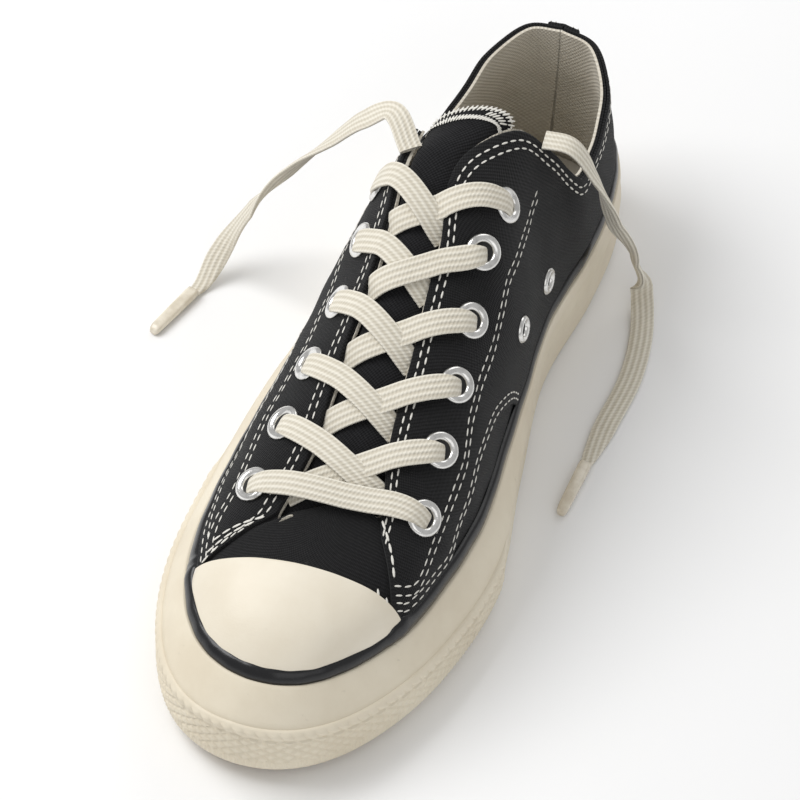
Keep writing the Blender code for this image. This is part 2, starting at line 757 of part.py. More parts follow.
def build_tongue(canvas, collection):
    length = throat_length()[1][-1]
    marks = [-TONGUE_UNDER_VAMP, 0.0, length, length + TONGUE_REACH]
    rows = np.interp([row[0] for row in TONGUE_ROWS], [-1.0, 0.0, 1.0, 2.0], marks)
    tuck = 1.0 + TONGUE_TUCK / THROAT_UNIT
    free = 1.0 + TONGUE_FREE_TUCK / THROAT_UNIT
    under = UPPER_WALL + TONGUE_CLEARANCE
    outer = []
    inner = []
    for distance, (_, tucked, narrowing) in zip(rows, TONGUE_ROWS):
        width = narrowing * (free + (tuck - free) * tucked)
        line = width * np.linspace(-1.0, 1.0, TONGUE_POINTS)
        crown = [TONGUE_CROWN * max(0.0, 1.0 - across**2) - under for across in line]
        outer.append([throat_point(distance, across, lift)[0] for across, lift in zip(line, crown)])
        inner.append(
            [throat_point(distance, across, lift - TONGUE_THICKNESS)[0] for across, lift in zip(line, crown)]
        )
    return shell_solid("tongue", np.array(outer), np.array(inner), canvas, collection)


# Eyelets and lace


def ring_profile(radius, bore, height):
    """Half section of an eyelet, from the top of its outer side down and round."""
    return [
        (radius, 0.45 * height),
        (radius, 0.0),
        (bore, 0.0),
        (bore, 0.55 * height),
        (0.45 * radius + 0.55 * bore, height),
    ]


def build_ring(name, mesh, centre, normal, collection):
    made = bpy.data.objects.new(name, mesh)
    turn = Vector((0.0, 0.0, 1.0)).rotation_difference(Vector(normal)).to_matrix().to_4x4()
    made.matrix_world = Matrix.Translation(Vector(centre)) @ turn
    collection.objects.link(made)
    screw = made.modifiers.new("turn", "SCREW")
    screw.steps = RING_STEPS
    screw.render_steps = RING_STEPS
    screw.use_merge_vertices = False
    return made


def ring_mesh(name, radius, bore, height, metal):
    profile = ring_profile(radius, bore, height)
    mesh = bpy.data.meshes.new(name)
    edges = [(i, (i + 1) % len(profile)) for i in range(len(profile))]
    mesh.from_pydata([(across, 0.0, up) for across, up in profile], edges, [])
    mesh.materials.append(metal)
    return mesh


def eyelet(side, sign, row, offset):
    """Centre of an eyelet and the normal there."""
    distance = FIRST_EYELET - EYELET_LEAD[side] + EYELET_PITCH * (row - 1)
    return throat_point(distance, sign * (1.0 + EYELET_INSET[side] / THROAT_UNIT), offset)


def build_eyelets(metal, collection):
    mesh = ring_mesh("eyelet", EYELET_RADIUS, EYELET_BORE, EYELET_HEIGHT, metal)
    seat = QUARTER_GAP + QUARTER_THICKNESS + EYELET_LIFT
    for side, sign in (("medial", 1.0), ("lateral", -1.0)):
        for row in range(1, EYELET_ROWS + 1):
            centre, normal = eyelet(side, sign, row, seat)
            build_ring(f"eyelet_{side}_{row}", mesh, centre, normal, collection)
    mesh = ring_mesh("vent", VENT_RADIUS, VENT_BORE, EYELET_HEIGHT, metal)
    for name, (station, down) in VENTS.items():
        place = np.array([station])
        along = along_below_edge(place, down)
        centre = shell(place, along, seat)[0]
        normal = unit(centre - surface(place, along)[0])
        build_ring(name, mesh, centre, normal, collection)


def ribbon(name, start, finish, offsets, cotton, collection):
    """Flat lace over the straight line in plan from start to finish, at offsets from the surface under BAR_SHARES."""
    centres = []
    normals = []
    for share in np.linspace(BAR_SHARES[0], BAR_SHARES[-1], BAR_STEPS):
        offset = smooth(np.array(BAR_SHARES), np.array(offsets), np.array([share]))[0]
        centre, normal = throat_point(*throat_at(start + (finish - start) * share), offset)
        centres.append(centre)
        normals.append(normal)
    centres = np.array(centres)
    normals = np.array(normals)
    along = unit(np.gradient(centres, axis=0))
    sideways = unit(np.cross(normals, along))
    normals = np.cross(along, sideways)
    shape = [(0.5, 0.0), (0.36, 0.5), (-0.36, 0.5), (-0.5, 0.0), (-0.36, -0.5), (0.36, -0.5)]
    sections = np.stack(
        [centres + sideways * wide * LACE_WIDTH + normals * thick * LACE_THICKNESS for wide, thick in shape], axis=1
    )
    return loop_solid(name, sections, cotton, collection, closed=False)


def edge_at(sign, y):
    """Place in plan of the throat's edge at a y."""
    station = throat_length()[0]
    edge = top_edge(station if sign > 0 else 2.0 - station)
    return np.array([np.interp(y, edge[:, 1], edge[:, 0]), y])


def build_laces(cotton, collection, cutters):
    on_quarter = QUARTER_GAP + QUARTER_THICKNESS
    over_eyelet = on_quarter + EYELET_LIFT + EYELET_HEIGHT + LACE_LIFT + LACE_THICKNESS / 2
    over_stay = on_quarter + GAP + LACE_THICKNESS / 2
    over_tongue = LACE_THICKNESS / 2 + GAP
    sides = {1.0: "medial", -1.0: "lateral"}
    rows = range(1, EYELET_ROWS + 1)
    centres = {(sign, row): eyelet(side, sign, row, 0.0)[0][:2] for sign, side in sides.items() for row in rows}
    over_ends = over_stay + LACE_THICKNESS
    bar = (over_eyelet, over_eyelet, over_ends, over_ends, over_eyelet, over_eyelet)
    ribbon("lace_row_1", centres[-1.0, 1], centres[1.0, 1], bar, cotton, collection)
    for row in range(2, EYELET_ROWS + 1):
        lateral_over = row != EYELET_ROWS - 1
        for sign, over in ((-1.0, lateral_over), (1.0, not lateral_over)):
            lift = over_stay if over else over_tongue + GAP
            falling = over_tongue + GAP if row == 2 else lift
            leaving = over_stay if sign > 0 else lift
            last = over_stay if row == EYELET_ROWS else over_tongue - GAP
            heights = (over_eyelet, over_eyelet, over_ends - GAP, leaving, falling, last)
            finish = edge_at(-sign, centres[-sign, row - 1][1])
            if sign < 0:
                made = ribbon(f"lace_row_{row}", centres[sign, row], finish, heights, cotton, collection)
                continue
            other = ribbon(f"lace_row_{row}_other_bar", centres[sign, row], finish, heights, cotton, cutters)
            other.hide_render = True
            other.display_type = "WIRE"
            joined = made.modifiers.new("other bar", "BOOLEAN")
            joined.operation = "UNION"
            joined.object = other


def cord_points(route):
    """Even points along a smooth curve through the route."""
    route = np.array(route)
    knots = np.concatenate([[0.0], np.cumsum(np.linalg.norm(np.diff(route, axis=0), axis=1))])
    fine = np.linspace(0.0, knots[-1], 400)
    curve = np.stack([smooth(knots, route[:, i], fine) for i in range(3)], -1)
    measured = np.concatenate([[0.0], np.cumsum(np.linalg.norm(np.diff(curve, axis=0), axis=1))])
    even = np.linspace(0.0, measured[-1], CORD_POINTS)
    return np.stack([np.interp(even, measured, curve[:, i]) for i in range(3)], -1)


def build_lace_end(side, route, cotton, plastic, collection):
    points = cord_points(route)
    curve = bpy.data.curves.new(f"lace_end_{side}", "CURVE")
    curve.dimensions = "3D"
    curve.bevel_depth = LACE_END_RADIUS
    curve.bevel_resolution = 2
    curve.use_fill_caps = True
    curve.materials.append(cotton)
    spline = curve.splines.new("POLY")
    spline.points.add(len(points) - 1)
    for point, place in zip(spline.points, points):
        point.co = (*place, 1.0)
    collection.objects.link(bpy.data.objects.new(f"lace_end_{side}", curve))

    forward = unit(points[-1] - points[-2])
    forward[2] = 0.0
    forward = unit(forward)
    start = points[-1] + forward * GAP
    mesh = bpy.data.meshes.new(f"aglet_{side}")
    shaped = bmesh.new()
    bmesh.ops.create_cone(
        shaped, cap_ends=True, segments=10, radius1=AGLET_RADIUS, radius2=0.8 * AGLET_RADIUS, depth=AGLET_LENGTH
    )
    shaped.to_mesh(mesh)
    shaped.free()
    mesh.materials.append(plastic)
    made = bpy.data.objects.new(f"aglet_{side}", mesh)
    turn = Vector((0.0, 0.0, 1.0)).rotation_difference(Vector(forward)).to_matrix().to_4x4()
    made.matrix_world = Matrix.Translation(Vector(start + forward * AGLET_LENGTH / 2)) @ turn
    collection.objects.link(made)


def build_shoe():
    for old in list(bpy.data.objects):
        bpy.data.objects.remove(old, do_unlink=True)
    shoe = new_collection("sneaker")
    cutters = new_collection("cutters")
    cutters.hide_render = True

    black_canvas = material("black canvas", (0.012, 0.012, 0.013), 0.9)
    cream_rubber = material("cream rubber", (0.78, 0.73, 0.62), 0.45)
    black_rubber = material("black rubber", (0.008, 0.008, 0.009), 0.2)
    cream_cotton = material("cream cotton", (0.80, 0.76, 0.66), 0.9)
    sock_cotton = material("sock cotton", (0.62, 0.59, 0.53), 0.95)
    bright_metal = material("bright metal", (0.75, 0.75, 0.74), 0.25, 1.0)
    clear_plastic = material("cream plastic", (0.80, 0.76, 0.66), 0.3)

    places = rib_places()
    build_outsole(places, cream_rubber, shoe)
    build_insole(places, sock_cotton, shoe)
    build_foxing(places, cream_rubber, shoe)
    build_toe_bumper(places, cream_rubber, shoe)
    build_tape(places, black_rubber, shoe)
    build_upper(places, black_canvas, shoe)
    build_quarters(places, black_canvas, shoe)
    build_toe_cap(places, cream_rubber, shoe)
    build_heel_strip(black_canvas, shoe)
    build_tongue(black_canvas, shoe)
    build_eyelets(bright_metal, shoe)
    build_laces(cream_cotton, shoe, cutters)
    build_lace_end("medial", LACE_END_MEDIAL, cream_cotton, clear_plastic, shoe)
    build_lace_end("lateral", LACE_END_LATERAL, cream_cotton, clear_plastic, shoe)


build_shoe()
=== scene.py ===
# %% [markdown]
# # Low black canvas sneaker, right shoe
# This lesson dresses a canvas sneaker. The shapes are worked out first with plain arrays, from short tables of
# a last: the wooden or plastic foot a shoe is built on. Then each piece is made as a fine mesh, in the order a
# shoemaker would lay them down: sole, canvas, rubber trim, metal, laces, stitches.

# %% setup
from functools import lru_cache

import bmesh
import bpy
import numpy as np
from mathutils import Matrix, Vector


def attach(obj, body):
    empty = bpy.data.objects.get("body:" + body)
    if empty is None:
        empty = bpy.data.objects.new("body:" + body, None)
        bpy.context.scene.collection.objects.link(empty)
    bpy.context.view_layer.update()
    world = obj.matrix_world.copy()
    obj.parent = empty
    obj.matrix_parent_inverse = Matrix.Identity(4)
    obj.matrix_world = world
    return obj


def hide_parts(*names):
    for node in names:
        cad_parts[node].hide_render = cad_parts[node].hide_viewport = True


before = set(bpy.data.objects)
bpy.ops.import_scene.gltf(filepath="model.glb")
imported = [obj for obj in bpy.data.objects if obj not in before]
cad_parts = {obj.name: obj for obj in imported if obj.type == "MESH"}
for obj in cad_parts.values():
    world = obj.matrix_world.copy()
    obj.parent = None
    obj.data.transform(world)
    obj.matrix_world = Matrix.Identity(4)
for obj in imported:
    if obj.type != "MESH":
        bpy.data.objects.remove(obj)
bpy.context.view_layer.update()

# %% [markdown]
# ## Camera
# A product photo like this is taken from a little above the toe. The camera's right, up and backward directions
# come from its azimuth, elevation and roll. A long lens at some distance keeps the shoe's proportions calm.

# %% camera
AZIMUTH, ELEVATION, ROLL = np.radians([19.386, 51.092, 2.370])
level = np.array([np.cos(AZIMUTH), np.sin(AZIMUTH), 0.0])
rising = np.array([-np.sin(AZIMUTH) * np.sin(ELEVATION), np.cos(AZIMUTH) * np.sin(ELEVATION), np.cos(ELEVATION)])
backward = np.array([np.sin(AZIMUTH) * np.cos(ELEVATION), -np.cos(AZIMUTH) * np.cos(ELEVATION), np.sin(ELEVATION)])
right = np.cos(ROLL) * level + np.sin(ROLL) * rising
up = -np.sin(ROLL) * level + np.cos(ROLL) * rising
lens = bpy.data.cameras.new("camera")
lens.lens = 240.0
lens.sensor_width = 36.0
lens.clip_start = 0.05
camera = bpy.data.objects.new("camera", lens)
bpy.context.scene.collection.objects.link(camera)
stand = -0.00083 * right + 0.01822 * up + 1.7178 * backward
turned = [[*row, place] for row, place in zip(np.stack([right, up, backward], 1), stand)]
camera.matrix_world = Matrix(turned + [[0, 0, 0, 1]])
bpy.context.scene.camera = camera
print("camera stands at", np.round(stand, 3))

# %% [markdown]
# ## Dimensions
# All sizes are in metres. The table of ribs describes the last from heel to toe: where each rib's top edge lies,
# and how steeply the curve leaves the sole and arrives at the edge, on the medial and on the lateral side.

# %% sizes
LENGTH, BALL_WIDTH, EYESTAY_HEIGHT = 0.274, 0.098, 0.100
TOE_SPRING, TOE_SPRING_REACH = 0.003, 0.060
GAP, OUTSOLE_THICKNESS, OUTSOLE_INSET = 0.0003, 0.0095, 0.0038
FOXING_HEIGHT, FOXING_HEEL_RISE, FOXING_TOE_RISE = 0.0275, 0.003, 0.006
BUMPER_THICKNESS, BUMPER_HEIGHT, BUMPER_TOE_RISE = 0.0018, 0.0190, 0.005
TAPE_WIDTH = 0.0062
EYESTAY_WIDTH, CAP_REAR, CAP_SKEW, CAP_TO_QUARTER = 0.047, 0.0465, 0.097, 0.012
EYELET_ROWS, EYELET_PITCH, FIRST_EYELET = 6, 0.0216, 0.0155
EYELET_INSET = {"medial": 0.0208, "lateral": 0.0152}
EYELET_LEAD = {"medial": 0.0, "lateral": 0.0040}
LACE_WIDTH, LACE_THICKNESS = 0.0076, 0.0016
OUTLINE = [
    (0.000, 0.020, 0.049, 0.049),
    (0.217, 0.022, 0.049, 0.049),
    (0.316, 0.022, 0.049, 0.049),
    (0.352, 0.002, 0.049, 0.049),
    (0.366, -0.036, 0.055, 0.050),
    (0.438, -0.032, 0.072, 0.060),
    (0.490, 0.000, 0.110, 0.070),
    (0.462, -0.014, 0.112, 0.080),
    (0.360, -0.028, 0.104, 0.082),
    (0.204, -0.036, 0.090, 0.084),
    (0.000, -0.038, 0.084, 0.084),
]
RIB_COLUMNS = (
    "station", "back", "side", "shift", "height", "medial_lean", "lateral_lean", "foot_pull",
    "medial_rise", "medial_pull", "lateral_rise", "lateral_pull",
)
RIBS = [
    (0.000, 0.026, 0.000, 0.034, 0.742, 8.0, 8.0, 0.36, 84.0, 0.30, 84.0, 0.30),
    (0.090, 0.038, 0.118, 0.040, 0.740, 8.0, 8.0, 0.36, 84.0, 0.30, 84.0, 0.30),
    (0.190, 0.096, 0.208, 0.050, 0.722, 8.0, 8.0, 0.36, 84.0, 0.30, 84.0, 0.30),
    (0.290, 0.176, 0.248, 0.056, 0.694, 9.0, 9.0, 0.36, 82.0, 0.30, 82.0, 0.30),
    (0.350, 0.225, 0.262, 0.042, 0.692, 10.0, 9.0, 0.36, 80.0, 0.30, 80.0, 0.30),
    (0.390, 0.252, 0.250, 0.020, 0.760, 11.0, 6.0, 0.36, 72.0, 0.30, 72.0, 0.30),
    (0.420, 0.274, 0.212, -0.002, 0.872, 12.0, 3.0, 0.36, 62.0, 0.32, 68.0, 0.30),
    (0.445, 0.300, 0.146, -0.026, 0.997, 12.0, 0.0, 0.36, 46.0, 0.34, 66.0, 0.30),
    (0.465, 0.345, 0.100, -0.066, 1.022, 11.0, -2.0, 0.36, 14.0, 0.32, 64.0, 0.30),
    (0.530, 0.468, 0.090, -0.039, 0.900, 9.0, -2.0, 0.38, 18.0, 0.36, 56.0, 0.32),
    (0.600, 0.580, 0.104, -0.016, 0.761, 8.0, 1.0, 0.42, 15.0, 0.44, 40.0, 0.36),
    (0.670, 0.691, 0.117, 0.009, 0.627, 7.0, 4.0, 0.46, 14.0, 0.50, 22.0, 0.42),
    (0.720, 0.752, 0.156, 0.017, 0.545, 7.0, 6.0, 0.50, 14.0, 0.52, 14.0, 0.44),
    (0.790, 0.752, 0.111, 0.014, 0.547, 7.0, 7.0, 0.55, 12.0, 0.50, 11.0, 0.40),
    (0.860, 0.749, 0.063, 0.012, 0.553, 7.0, 7.0, 0.58, 12.0, 0.40, 11.0, 0.30),
    (0.930, 0.747, 0.031, 0.012, 0.556, 7.0, 7.0, 0.58, 12.0, 0.32, 12.0, 0.26),
    (1.000, 0.746, 0.000, 0.012, 0.557, 7.0, 7.0, 0.58, 12.0, 0.26, 12.0, 0.26),
]
COLLAR_STATION, THROAT_TOP_STATION, THROAT_FRONT_STATION, TOE_STATION = 0.35, 0.455, 0.72, 0.62
THROAT_SKEW_BACK, THROAT_SKEW_UP, THROAT_UNIT = 0.008, 0.004, 0.010
QUARTER_EDGE_START, QUARTER_EDGE_END = 0.485, 0.60
STAY_FLARE = {"medial": (0.10, 28.0), "lateral": (0.88, 0.0)}
VENTS = {"vent_upper": (0.418, 0.0439), "vent_lower": (0.473, 0.0612)}
LACE_END_MEDIAL = [
    (0.0198, 0.0655, 0.0938), (0.0272, 0.0665, 0.0938), (0.0372, 0.0678, 0.0800), (0.0430, 0.0718, 0.0580),
    (0.0470, 0.0861, 0.0260), (0.0500, 0.0889, 0.0060), (0.0530, 0.0813, 0.0022), (0.0571, 0.0595, 0.0022),
    (0.0565, 0.0361, 0.0022), (0.0560, 0.0177, 0.0022),
]
LACE_END_LATERAL = [
    (-0.0150, 0.0385, 0.1023), (-0.0255, 0.0490, 0.1050), (-0.0349, 0.0490, 0.0970), (-0.0440, 0.0500, 0.0840),
    (-0.0595, 0.0526, 0.0600), (-0.0753, 0.0548, 0.0300), (-0.0845, 0.0497, 0.0090), (-0.0875, 0.0400, 0.0022),
    (-0.0885, 0.0365, 0.0022),
]
print(len(RIBS), "rows of ribs,", len(OUTLINE), "rows of outline")

# %% [markdown]
# ## The last as a function
# Every rib is a cubic curve from the feather line, where upper and sole meet, to the upper's top edge. With the
# last as a function of two numbers, a fine mesh and a seam line can both be asked for at any place.

# %% last
def column(name):
    return np.array([row[RIB_COLUMNS.index(name)] for row in RIBS], float)


def unit(vectors):
    vectors = np.asarray(vectors, float)
    return vectors / np.maximum(np.linalg.norm(vectors, axis=-1, keepdims=True), 1e-12)


def smooth(knots, values, at):
    spans = np.diff(knots)
    steps = np.diff(values) / spans
    slopes = np.concatenate([steps[:1], np.zeros(len(steps) - 1), steps[-1:]])
    slopes[1:-1] = (steps[:-1] * spans[1:] + steps[1:] * spans[:-1]) / (spans[1:] + spans[:-1])
    cell = np.clip(np.searchsorted(knots, at, side="right") - 1, 0, len(spans) - 1)
    part = (at - knots[cell]) / spans[cell]
    rise = slopes[cell] * spans[cell]
    fall = slopes[cell + 1] * spans[cell]
    drop = values[cell + 1] - values[cell]
    return values[cell] + part * (rise + part * (3 * drop - 2 * rise - fall + part * (rise + fall - 2 * drop)))


def loop_smooth(stations, medial, lateral, at):
    knots = np.concatenate([stations, 2.0 - stations[-2::-1]])
    values = np.concatenate([medial, lateral[-2::-1]])
    knots = np.concatenate([knots[-3:-1] - 2.0, knots, knots[1:3] + 2.0])
    values = np.concatenate([values[-3:-1], values, values[1:3]])
    return smooth(knots, values, at)


def station_of(at):
    return np.arccos(np.cos(np.pi * at)) / np.pi


def side_of(at):
    return np.where(np.mod(at, 2.0) <= 1.0, 1.0, -1.0)


def outline_rows():
    rows = np.array(OUTLINE) * BALL_WIDTH
    return np.linspace(0.0, 1.0, len(rows)), rows


def feather_inset(at):
    stations, rows = outline_rows()
    return loop_smooth(stations, rows[:, 2], rows[:, 3], at)


def outline(at, inset=0.0):
    stations, rows = outline_rows()
    half = (LENGTH - BUMPER_THICKNESS) / 2

    def point(place):
        across = loop_smooth(stations, rows[:, 1] + rows[:, 0], rows[:, 1] - rows[:, 0], place)
        return np.stack([across, half * np.cos(np.pi * place) + BUMPER_THICKNESS / 2], -1)

    step = 0.001
    along = unit(point(at + step) - point(at - step))
    inward = np.stack([along[..., 1], -along[..., 0]], -1)
    return point(at) + inward * np.asarray(inset)[..., None], inward


def spring(y):
    forward = np.clip((TOE_SPRING_REACH - LENGTH / 2 - y) / TOE_SPRING_REACH, 0.0, None)
    return TOE_SPRING * forward**2


def top_edge(at):
    station = column("station")
    side = column("side")
    edge_x = loop_smooth(station, side, -side, at) * BALL_WIDTH
    place = station_of(at)
    back = smooth(station, column("back"), place)
    height = smooth(station, column("height"), place)
    in_throat = np.clip((place - COLLAR_STATION) / (THROAT_TOP_STATION - COLLAR_STATION), 0.0, 1.0)
    skew = in_throat * np.clip(edge_x / (side.max() * BALL_WIDTH), -1.0, 1.0)
    x = edge_x + smooth(station, column("shift"), place) * BALL_WIDTH
    y = LENGTH / 2 - back * LENGTH + THROAT_SKEW_BACK * skew
    z = height * EYESTAY_HEIGHT + THROAT_SKEW_UP * skew
    return np.stack([x, y, z], -1)


def rib_handles(at):
    plan, inward = outline(at, feather_inset(at))
    foot = np.concatenate([plan, (spring(plan[..., 1]) + OUTSOLE_THICKNESS + GAP)[..., None]], -1)
    top = top_edge(at)
    station = column("station")
    lean = np.radians(loop_smooth(station, column("medial_lean"), column("lateral_lean"), at))[..., None]
    foot_pull = smooth(station, column("foot_pull"), station_of(at))[..., None]
    rise = np.radians(loop_smooth(station, column("medial_rise"), column("lateral_rise"), at))[..., None]
    top_pull = loop_smooth(station, column("medial_pull"), column("lateral_pull"), at)[..., None]
    upward = np.array([0.0, 0.0, 1.0])
    inward = np.concatenate([inward, np.zeros_like(inward[..., :1])], -1)
    across = top - foot
    chord = np.linalg.norm(across, axis=-1, keepdims=True)
    across[..., 2] = 0.0
    across = unit(across + 0.1 * BALL_WIDTH * inward)
    foot_handle = foot + chord * foot_pull * (upward * np.cos(lean) - inward * np.sin(lean))
    top_direction = across * np.cos(rise) + upward * np.sin(rise)
    return foot, foot_handle, top - chord * top_pull * top_direction, top, top_direction


def surface(at, along):
    foot, foot_handle, top_handle, top, _ = rib_handles(at)
    along = np.asarray(along)[..., None]
    rest = 1.0 - along
    return foot * rest**3 + 3 * foot_handle * rest**2 * along + 3 * top_handle * rest * along**2 + top * along**3


def shell(at, along, offset):
    at, along, offset = np.broadcast_arrays(np.asarray(at, float), np.asarray(along, float), np.asarray(offset, float))
    step = 0.004
    forward = surface(at + step, along) - surface(at - step, along)
    upward = surface(at, along + step) - surface(at, along - step)
    return surface(at, along) + unit(np.cross(upward, forward)) * offset[..., None]


def rib_lengths(at, samples=61):
    along = np.linspace(0.0, 1.0, samples)
    points = surface(np.asarray(at)[:, None], along[None, :])
    steps = np.linalg.norm(np.diff(points, axis=1), axis=-1)
    return along, points, np.concatenate([np.zeros((len(points), 1)), np.cumsum(steps, axis=1)], axis=1)


def along_at_foxing(at, extra=0.0):
    along, points, lengths = rib_lengths(at)
    extra = np.broadcast_to(extra, np.shape(at))
    result = []
    for row, measured, more in zip(points, lengths, extra):
        station = (LENGTH / 2 - row[0, 1]) / LENGTH
        heel = np.clip(1.0 - 2.5 * station, 0.0, 1.0)
        toe = np.clip((station - TOE_STATION) / (1.0 - TOE_STATION), 0.0, 1.0)
        height = spring(row[0, 1]) + FOXING_HEIGHT + FOXING_HEEL_RISE * heel + FOXING_TOE_RISE * toe
        at_line = np.interp(height, row[:, 2], measured)
        result.append(np.interp(at_line + more, measured, along))
    return np.array(result)


def along_below_edge(at, distance):
    along, _, lengths = rib_lengths(at)
    distance = np.broadcast_to(distance, np.shape(at))
    return np.array([np.interp(row[-1] - down, row, along) for row, down in zip(lengths, distance)])


def crossing(values, along):
    found = []
    for row in values:
        below = np.flatnonzero(row < 0.0)
        if len(below) == 0:
            found.append(0.0)
        elif below[-1] == len(row) - 1:
            found.append(1.0)
        else:
            cell = slice(below[-1], below[-1] + 2)
            found.append(np.interp(0.0, row[cell], along[cell]))
    return np.array(found)


def cap_rear(at):
    along, points, _ = rib_lengths(at)
    line = CAP_REAR - LENGTH / 2 + CAP_SKEW * points[..., 0]
    behind = points[:, 0, 1] > line[:, 0]
    return np.where(behind, 0.0, crossing(points[..., 1] - line, along))


def stay_edge(at):
    along, points, _ = rib_lengths(at)
    side = side_of(at)[:, None]
    corner = top_edge(np.where(side > 0, THROAT_FRONT_STATION, 2.0 - THROAT_FRONT_STATION))
    ahead = np.clip(corner[..., 1] - points[..., 1], 0.0, None)
    slope, growth = (np.where(side > 0, *pair) for pair in zip(STAY_FLARE["medial"], STAY_FLARE["lateral"]))
    line = side * corner[..., 0] + slope * ahead + growth * ahead**2
    edge = crossing(line - side * points[..., 0], along)
    return np.where(station_of(at) > THROAT_FRONT_STATION, edge, 1.0)


def quarter_lower_edge(at):
    tape = along_at_foxing(at, TAPE_WIDTH)
    part = (station_of(at) - QUARTER_EDGE_START) / (QUARTER_EDGE_END - QUARTER_EDGE_START)
    lift = np.sin(0.5 * np.pi * np.clip(part, 0.0, 1.0))
    stay = np.maximum(along_below_edge(at, EYESTAY_WIDTH), tape)
    return np.maximum(tape + (stay - tape) * lift, cap_rear(at) + CAP_TO_QUARTER)


def sole_point(at, inset, height):
    plan, _ = outline(at, inset)
    return np.concatenate([plan, (spring(plan[..., 1]) + height)[..., None]], -1)


def bumper_line(at):
    toe = np.clip((station_of(at) - TOE_STATION) / (1.0 - TOE_STATION), 0.0, 1.0)
    return BUMPER_HEIGHT + BUMPER_TOE_RISE * toe


@lru_cache(maxsize=None)
def throat_length():
    station = np.linspace(THROAT_FRONT_STATION, THROAT_TOP_STATION, 80)
    edge = top_edge(station)
    return station, np.concatenate([[0.0], np.cumsum(np.linalg.norm(np.diff(edge, axis=0), axis=-1))])


def throat_surface(distance, across):
    station, lengths = throat_length()
    inside = float(np.clip(distance, 0.0, lengths[-1]))
    place = float(np.interp(inside, lengths, station))
    if distance != inside:
        step = 0.004 if distance > inside else -0.004
        near = throat_surface(inside - step, across)
        edge = throat_surface(inside, across)
        return edge + (edge - near) / abs(step) * abs(distance - inside)
    at = place if across > 0 else 2.0 - place
    if abs(across) > 1.0:
        down = along_below_edge(np.array([at]), THROAT_UNIT * (abs(across) - 1.0))
        return surface(np.array([at]), down)[0]
    _, _, _, ends, directions = rib_handles(np.array([2.0 - place, place]))
    pull = 0.9 * np.linalg.norm(ends[1] - ends[0])
    part = (across + 1.0) / 2.0
    rise = directions[0] * pull
    fall = -directions[1] * pull
    drop = ends[1] - ends[0]
    return ends[0] + part * (rise + part * (3 * drop - 2 * rise - fall + part * (rise + fall - 2 * drop)))


def throat_point(distance, across, offset):
    forward = throat_surface(distance - 0.001, across) - throat_surface(distance + 0.001, across)
    sideways = throat_surface(distance, across - 0.03) - throat_surface(distance, across + 0.03)
    normal = unit(np.cross(forward, sideways))
    if normal[2] < 0:
        normal = -normal
    return throat_surface(distance, across) + normal * offset, normal


def throat_at(plan):
    found = np.array([0.5 * throat_length()[1][-1], 0.0])
    steps = np.diag((0.0001, 0.001))
    for _ in range(25):
        here = throat_surface(*found)[:2]
        slopes = [(throat_surface(*(found + step))[:2] - here) / step.sum() for step in steps]
        move = np.linalg.solve(np.stack(slopes, axis=1), plan - here)
        found = found + 0.8 * np.clip(move, -0.5, 0.5)
        if np.abs(move).max() < 1e-5:
            break
    return found


def eyelet(side, sign, row, offset):
    distance = FIRST_EYELET - EYELET_LEAD[side] + EYELET_PITCH * (row - 1)
    return throat_point(distance, sign * (1.0 + EYELET_INSET[side] / THROAT_UNIT), offset)


def edge_at(sign, y):
    station = throat_length()[0]
    edge = top_edge(station if sign > 0 else 2.0 - station)
    return np.array([np.interp(y, edge[:, 1], edge[:, 0]), y])


def cord_points(route, count=22):
    route = np.array(route)
    knots = np.concatenate([[0.0], np.cumsum(np.linalg.norm(np.diff(route, axis=0), axis=1))])
    fine = np.linspace(0.0, knots[-1], 400)
    curve = np.stack([smooth(knots, route[:, i], fine) for i in range(3)], -1)
    measured = np.concatenate([[0.0], np.cumsum(np.linalg.norm(np.diff(curve, axis=0), axis=1))])
    even = np.linspace(0.0, measured[-1], count)
    return np.stack([np.interp(even, measured, curve[:, i]) for i in range(3)], -1)


places = np.linspace(0.0, 2.0, 361)[:-1]
print("throat is", round(1000 * throat_length()[1][-1], 1), "mm long")

# %% [markdown]
# ## Shader helper
# Materials are small trees of maths. A wrapper with ordinary plus, minus and times signs keeps them readable.

# %% shaders
class S:
    def __init__(self, tree, socket):
        self.tree, self.socket = tree, socket

    def node(self, kind, settings=(), out=0, **values):
        made = self.tree.nodes.new(kind)
        for key, value in dict(settings).items():
            setattr(made, key, value)
        for key, value in values.items():
            numbered = key[0] == "i" and key[1:].isdigit()
            socket = made.inputs[int(key[1:]) if numbered else key.replace("_", " ")]
            if isinstance(value, S):
                self.tree.links.new(value.socket, socket)
            else:
                socket.default_value = value
        return S(self.tree, made.outputs[out])

    def maths(self, kind, first, second=0.0, third=0.0):
        return self.node("ShaderNodeMath", {"operation": kind}, i0=first, i1=second, i2=third)

    def __add__(self, other):
        return self.maths("ADD", self, other)

    def __radd__(self, other):
        return self.maths("ADD", other, self)

    def __sub__(self, other):
        return self.maths("SUBTRACT", self, other)

    def __rsub__(self, other):
        return self.maths("SUBTRACT", other, self)

    def __mul__(self, other):
        return self.maths("MULTIPLY", self, other)

    def __rmul__(self, other):
        return self.maths("MULTIPLY", other, self)

    def __truediv__(self, other):
        return self.maths("DIVIDE", self, other)

    def sine(self):
        return self.maths("SINE", self)

    def step(self, low, high):
        return self.node("ShaderNodeMapRange", {"interpolation_type": "SMOOTHSTEP"}, i0=self, i1=low, i2=high)


def blend(factor, first, second):
    made = factor.tree.nodes.new("ShaderNodeMix")
    made.data_type = "RGBA"
    factor.tree.links.new(factor.socket, made.inputs[0])
    for slot, value in ((6, first), (7, second)):
        if isinstance(value, S):
            factor.tree.links.new(value.socket, made.inputs[slot])
        else:
            made.inputs[slot].default_value = (*value, 1.0)
    return S(factor.tree, made.outputs[2])


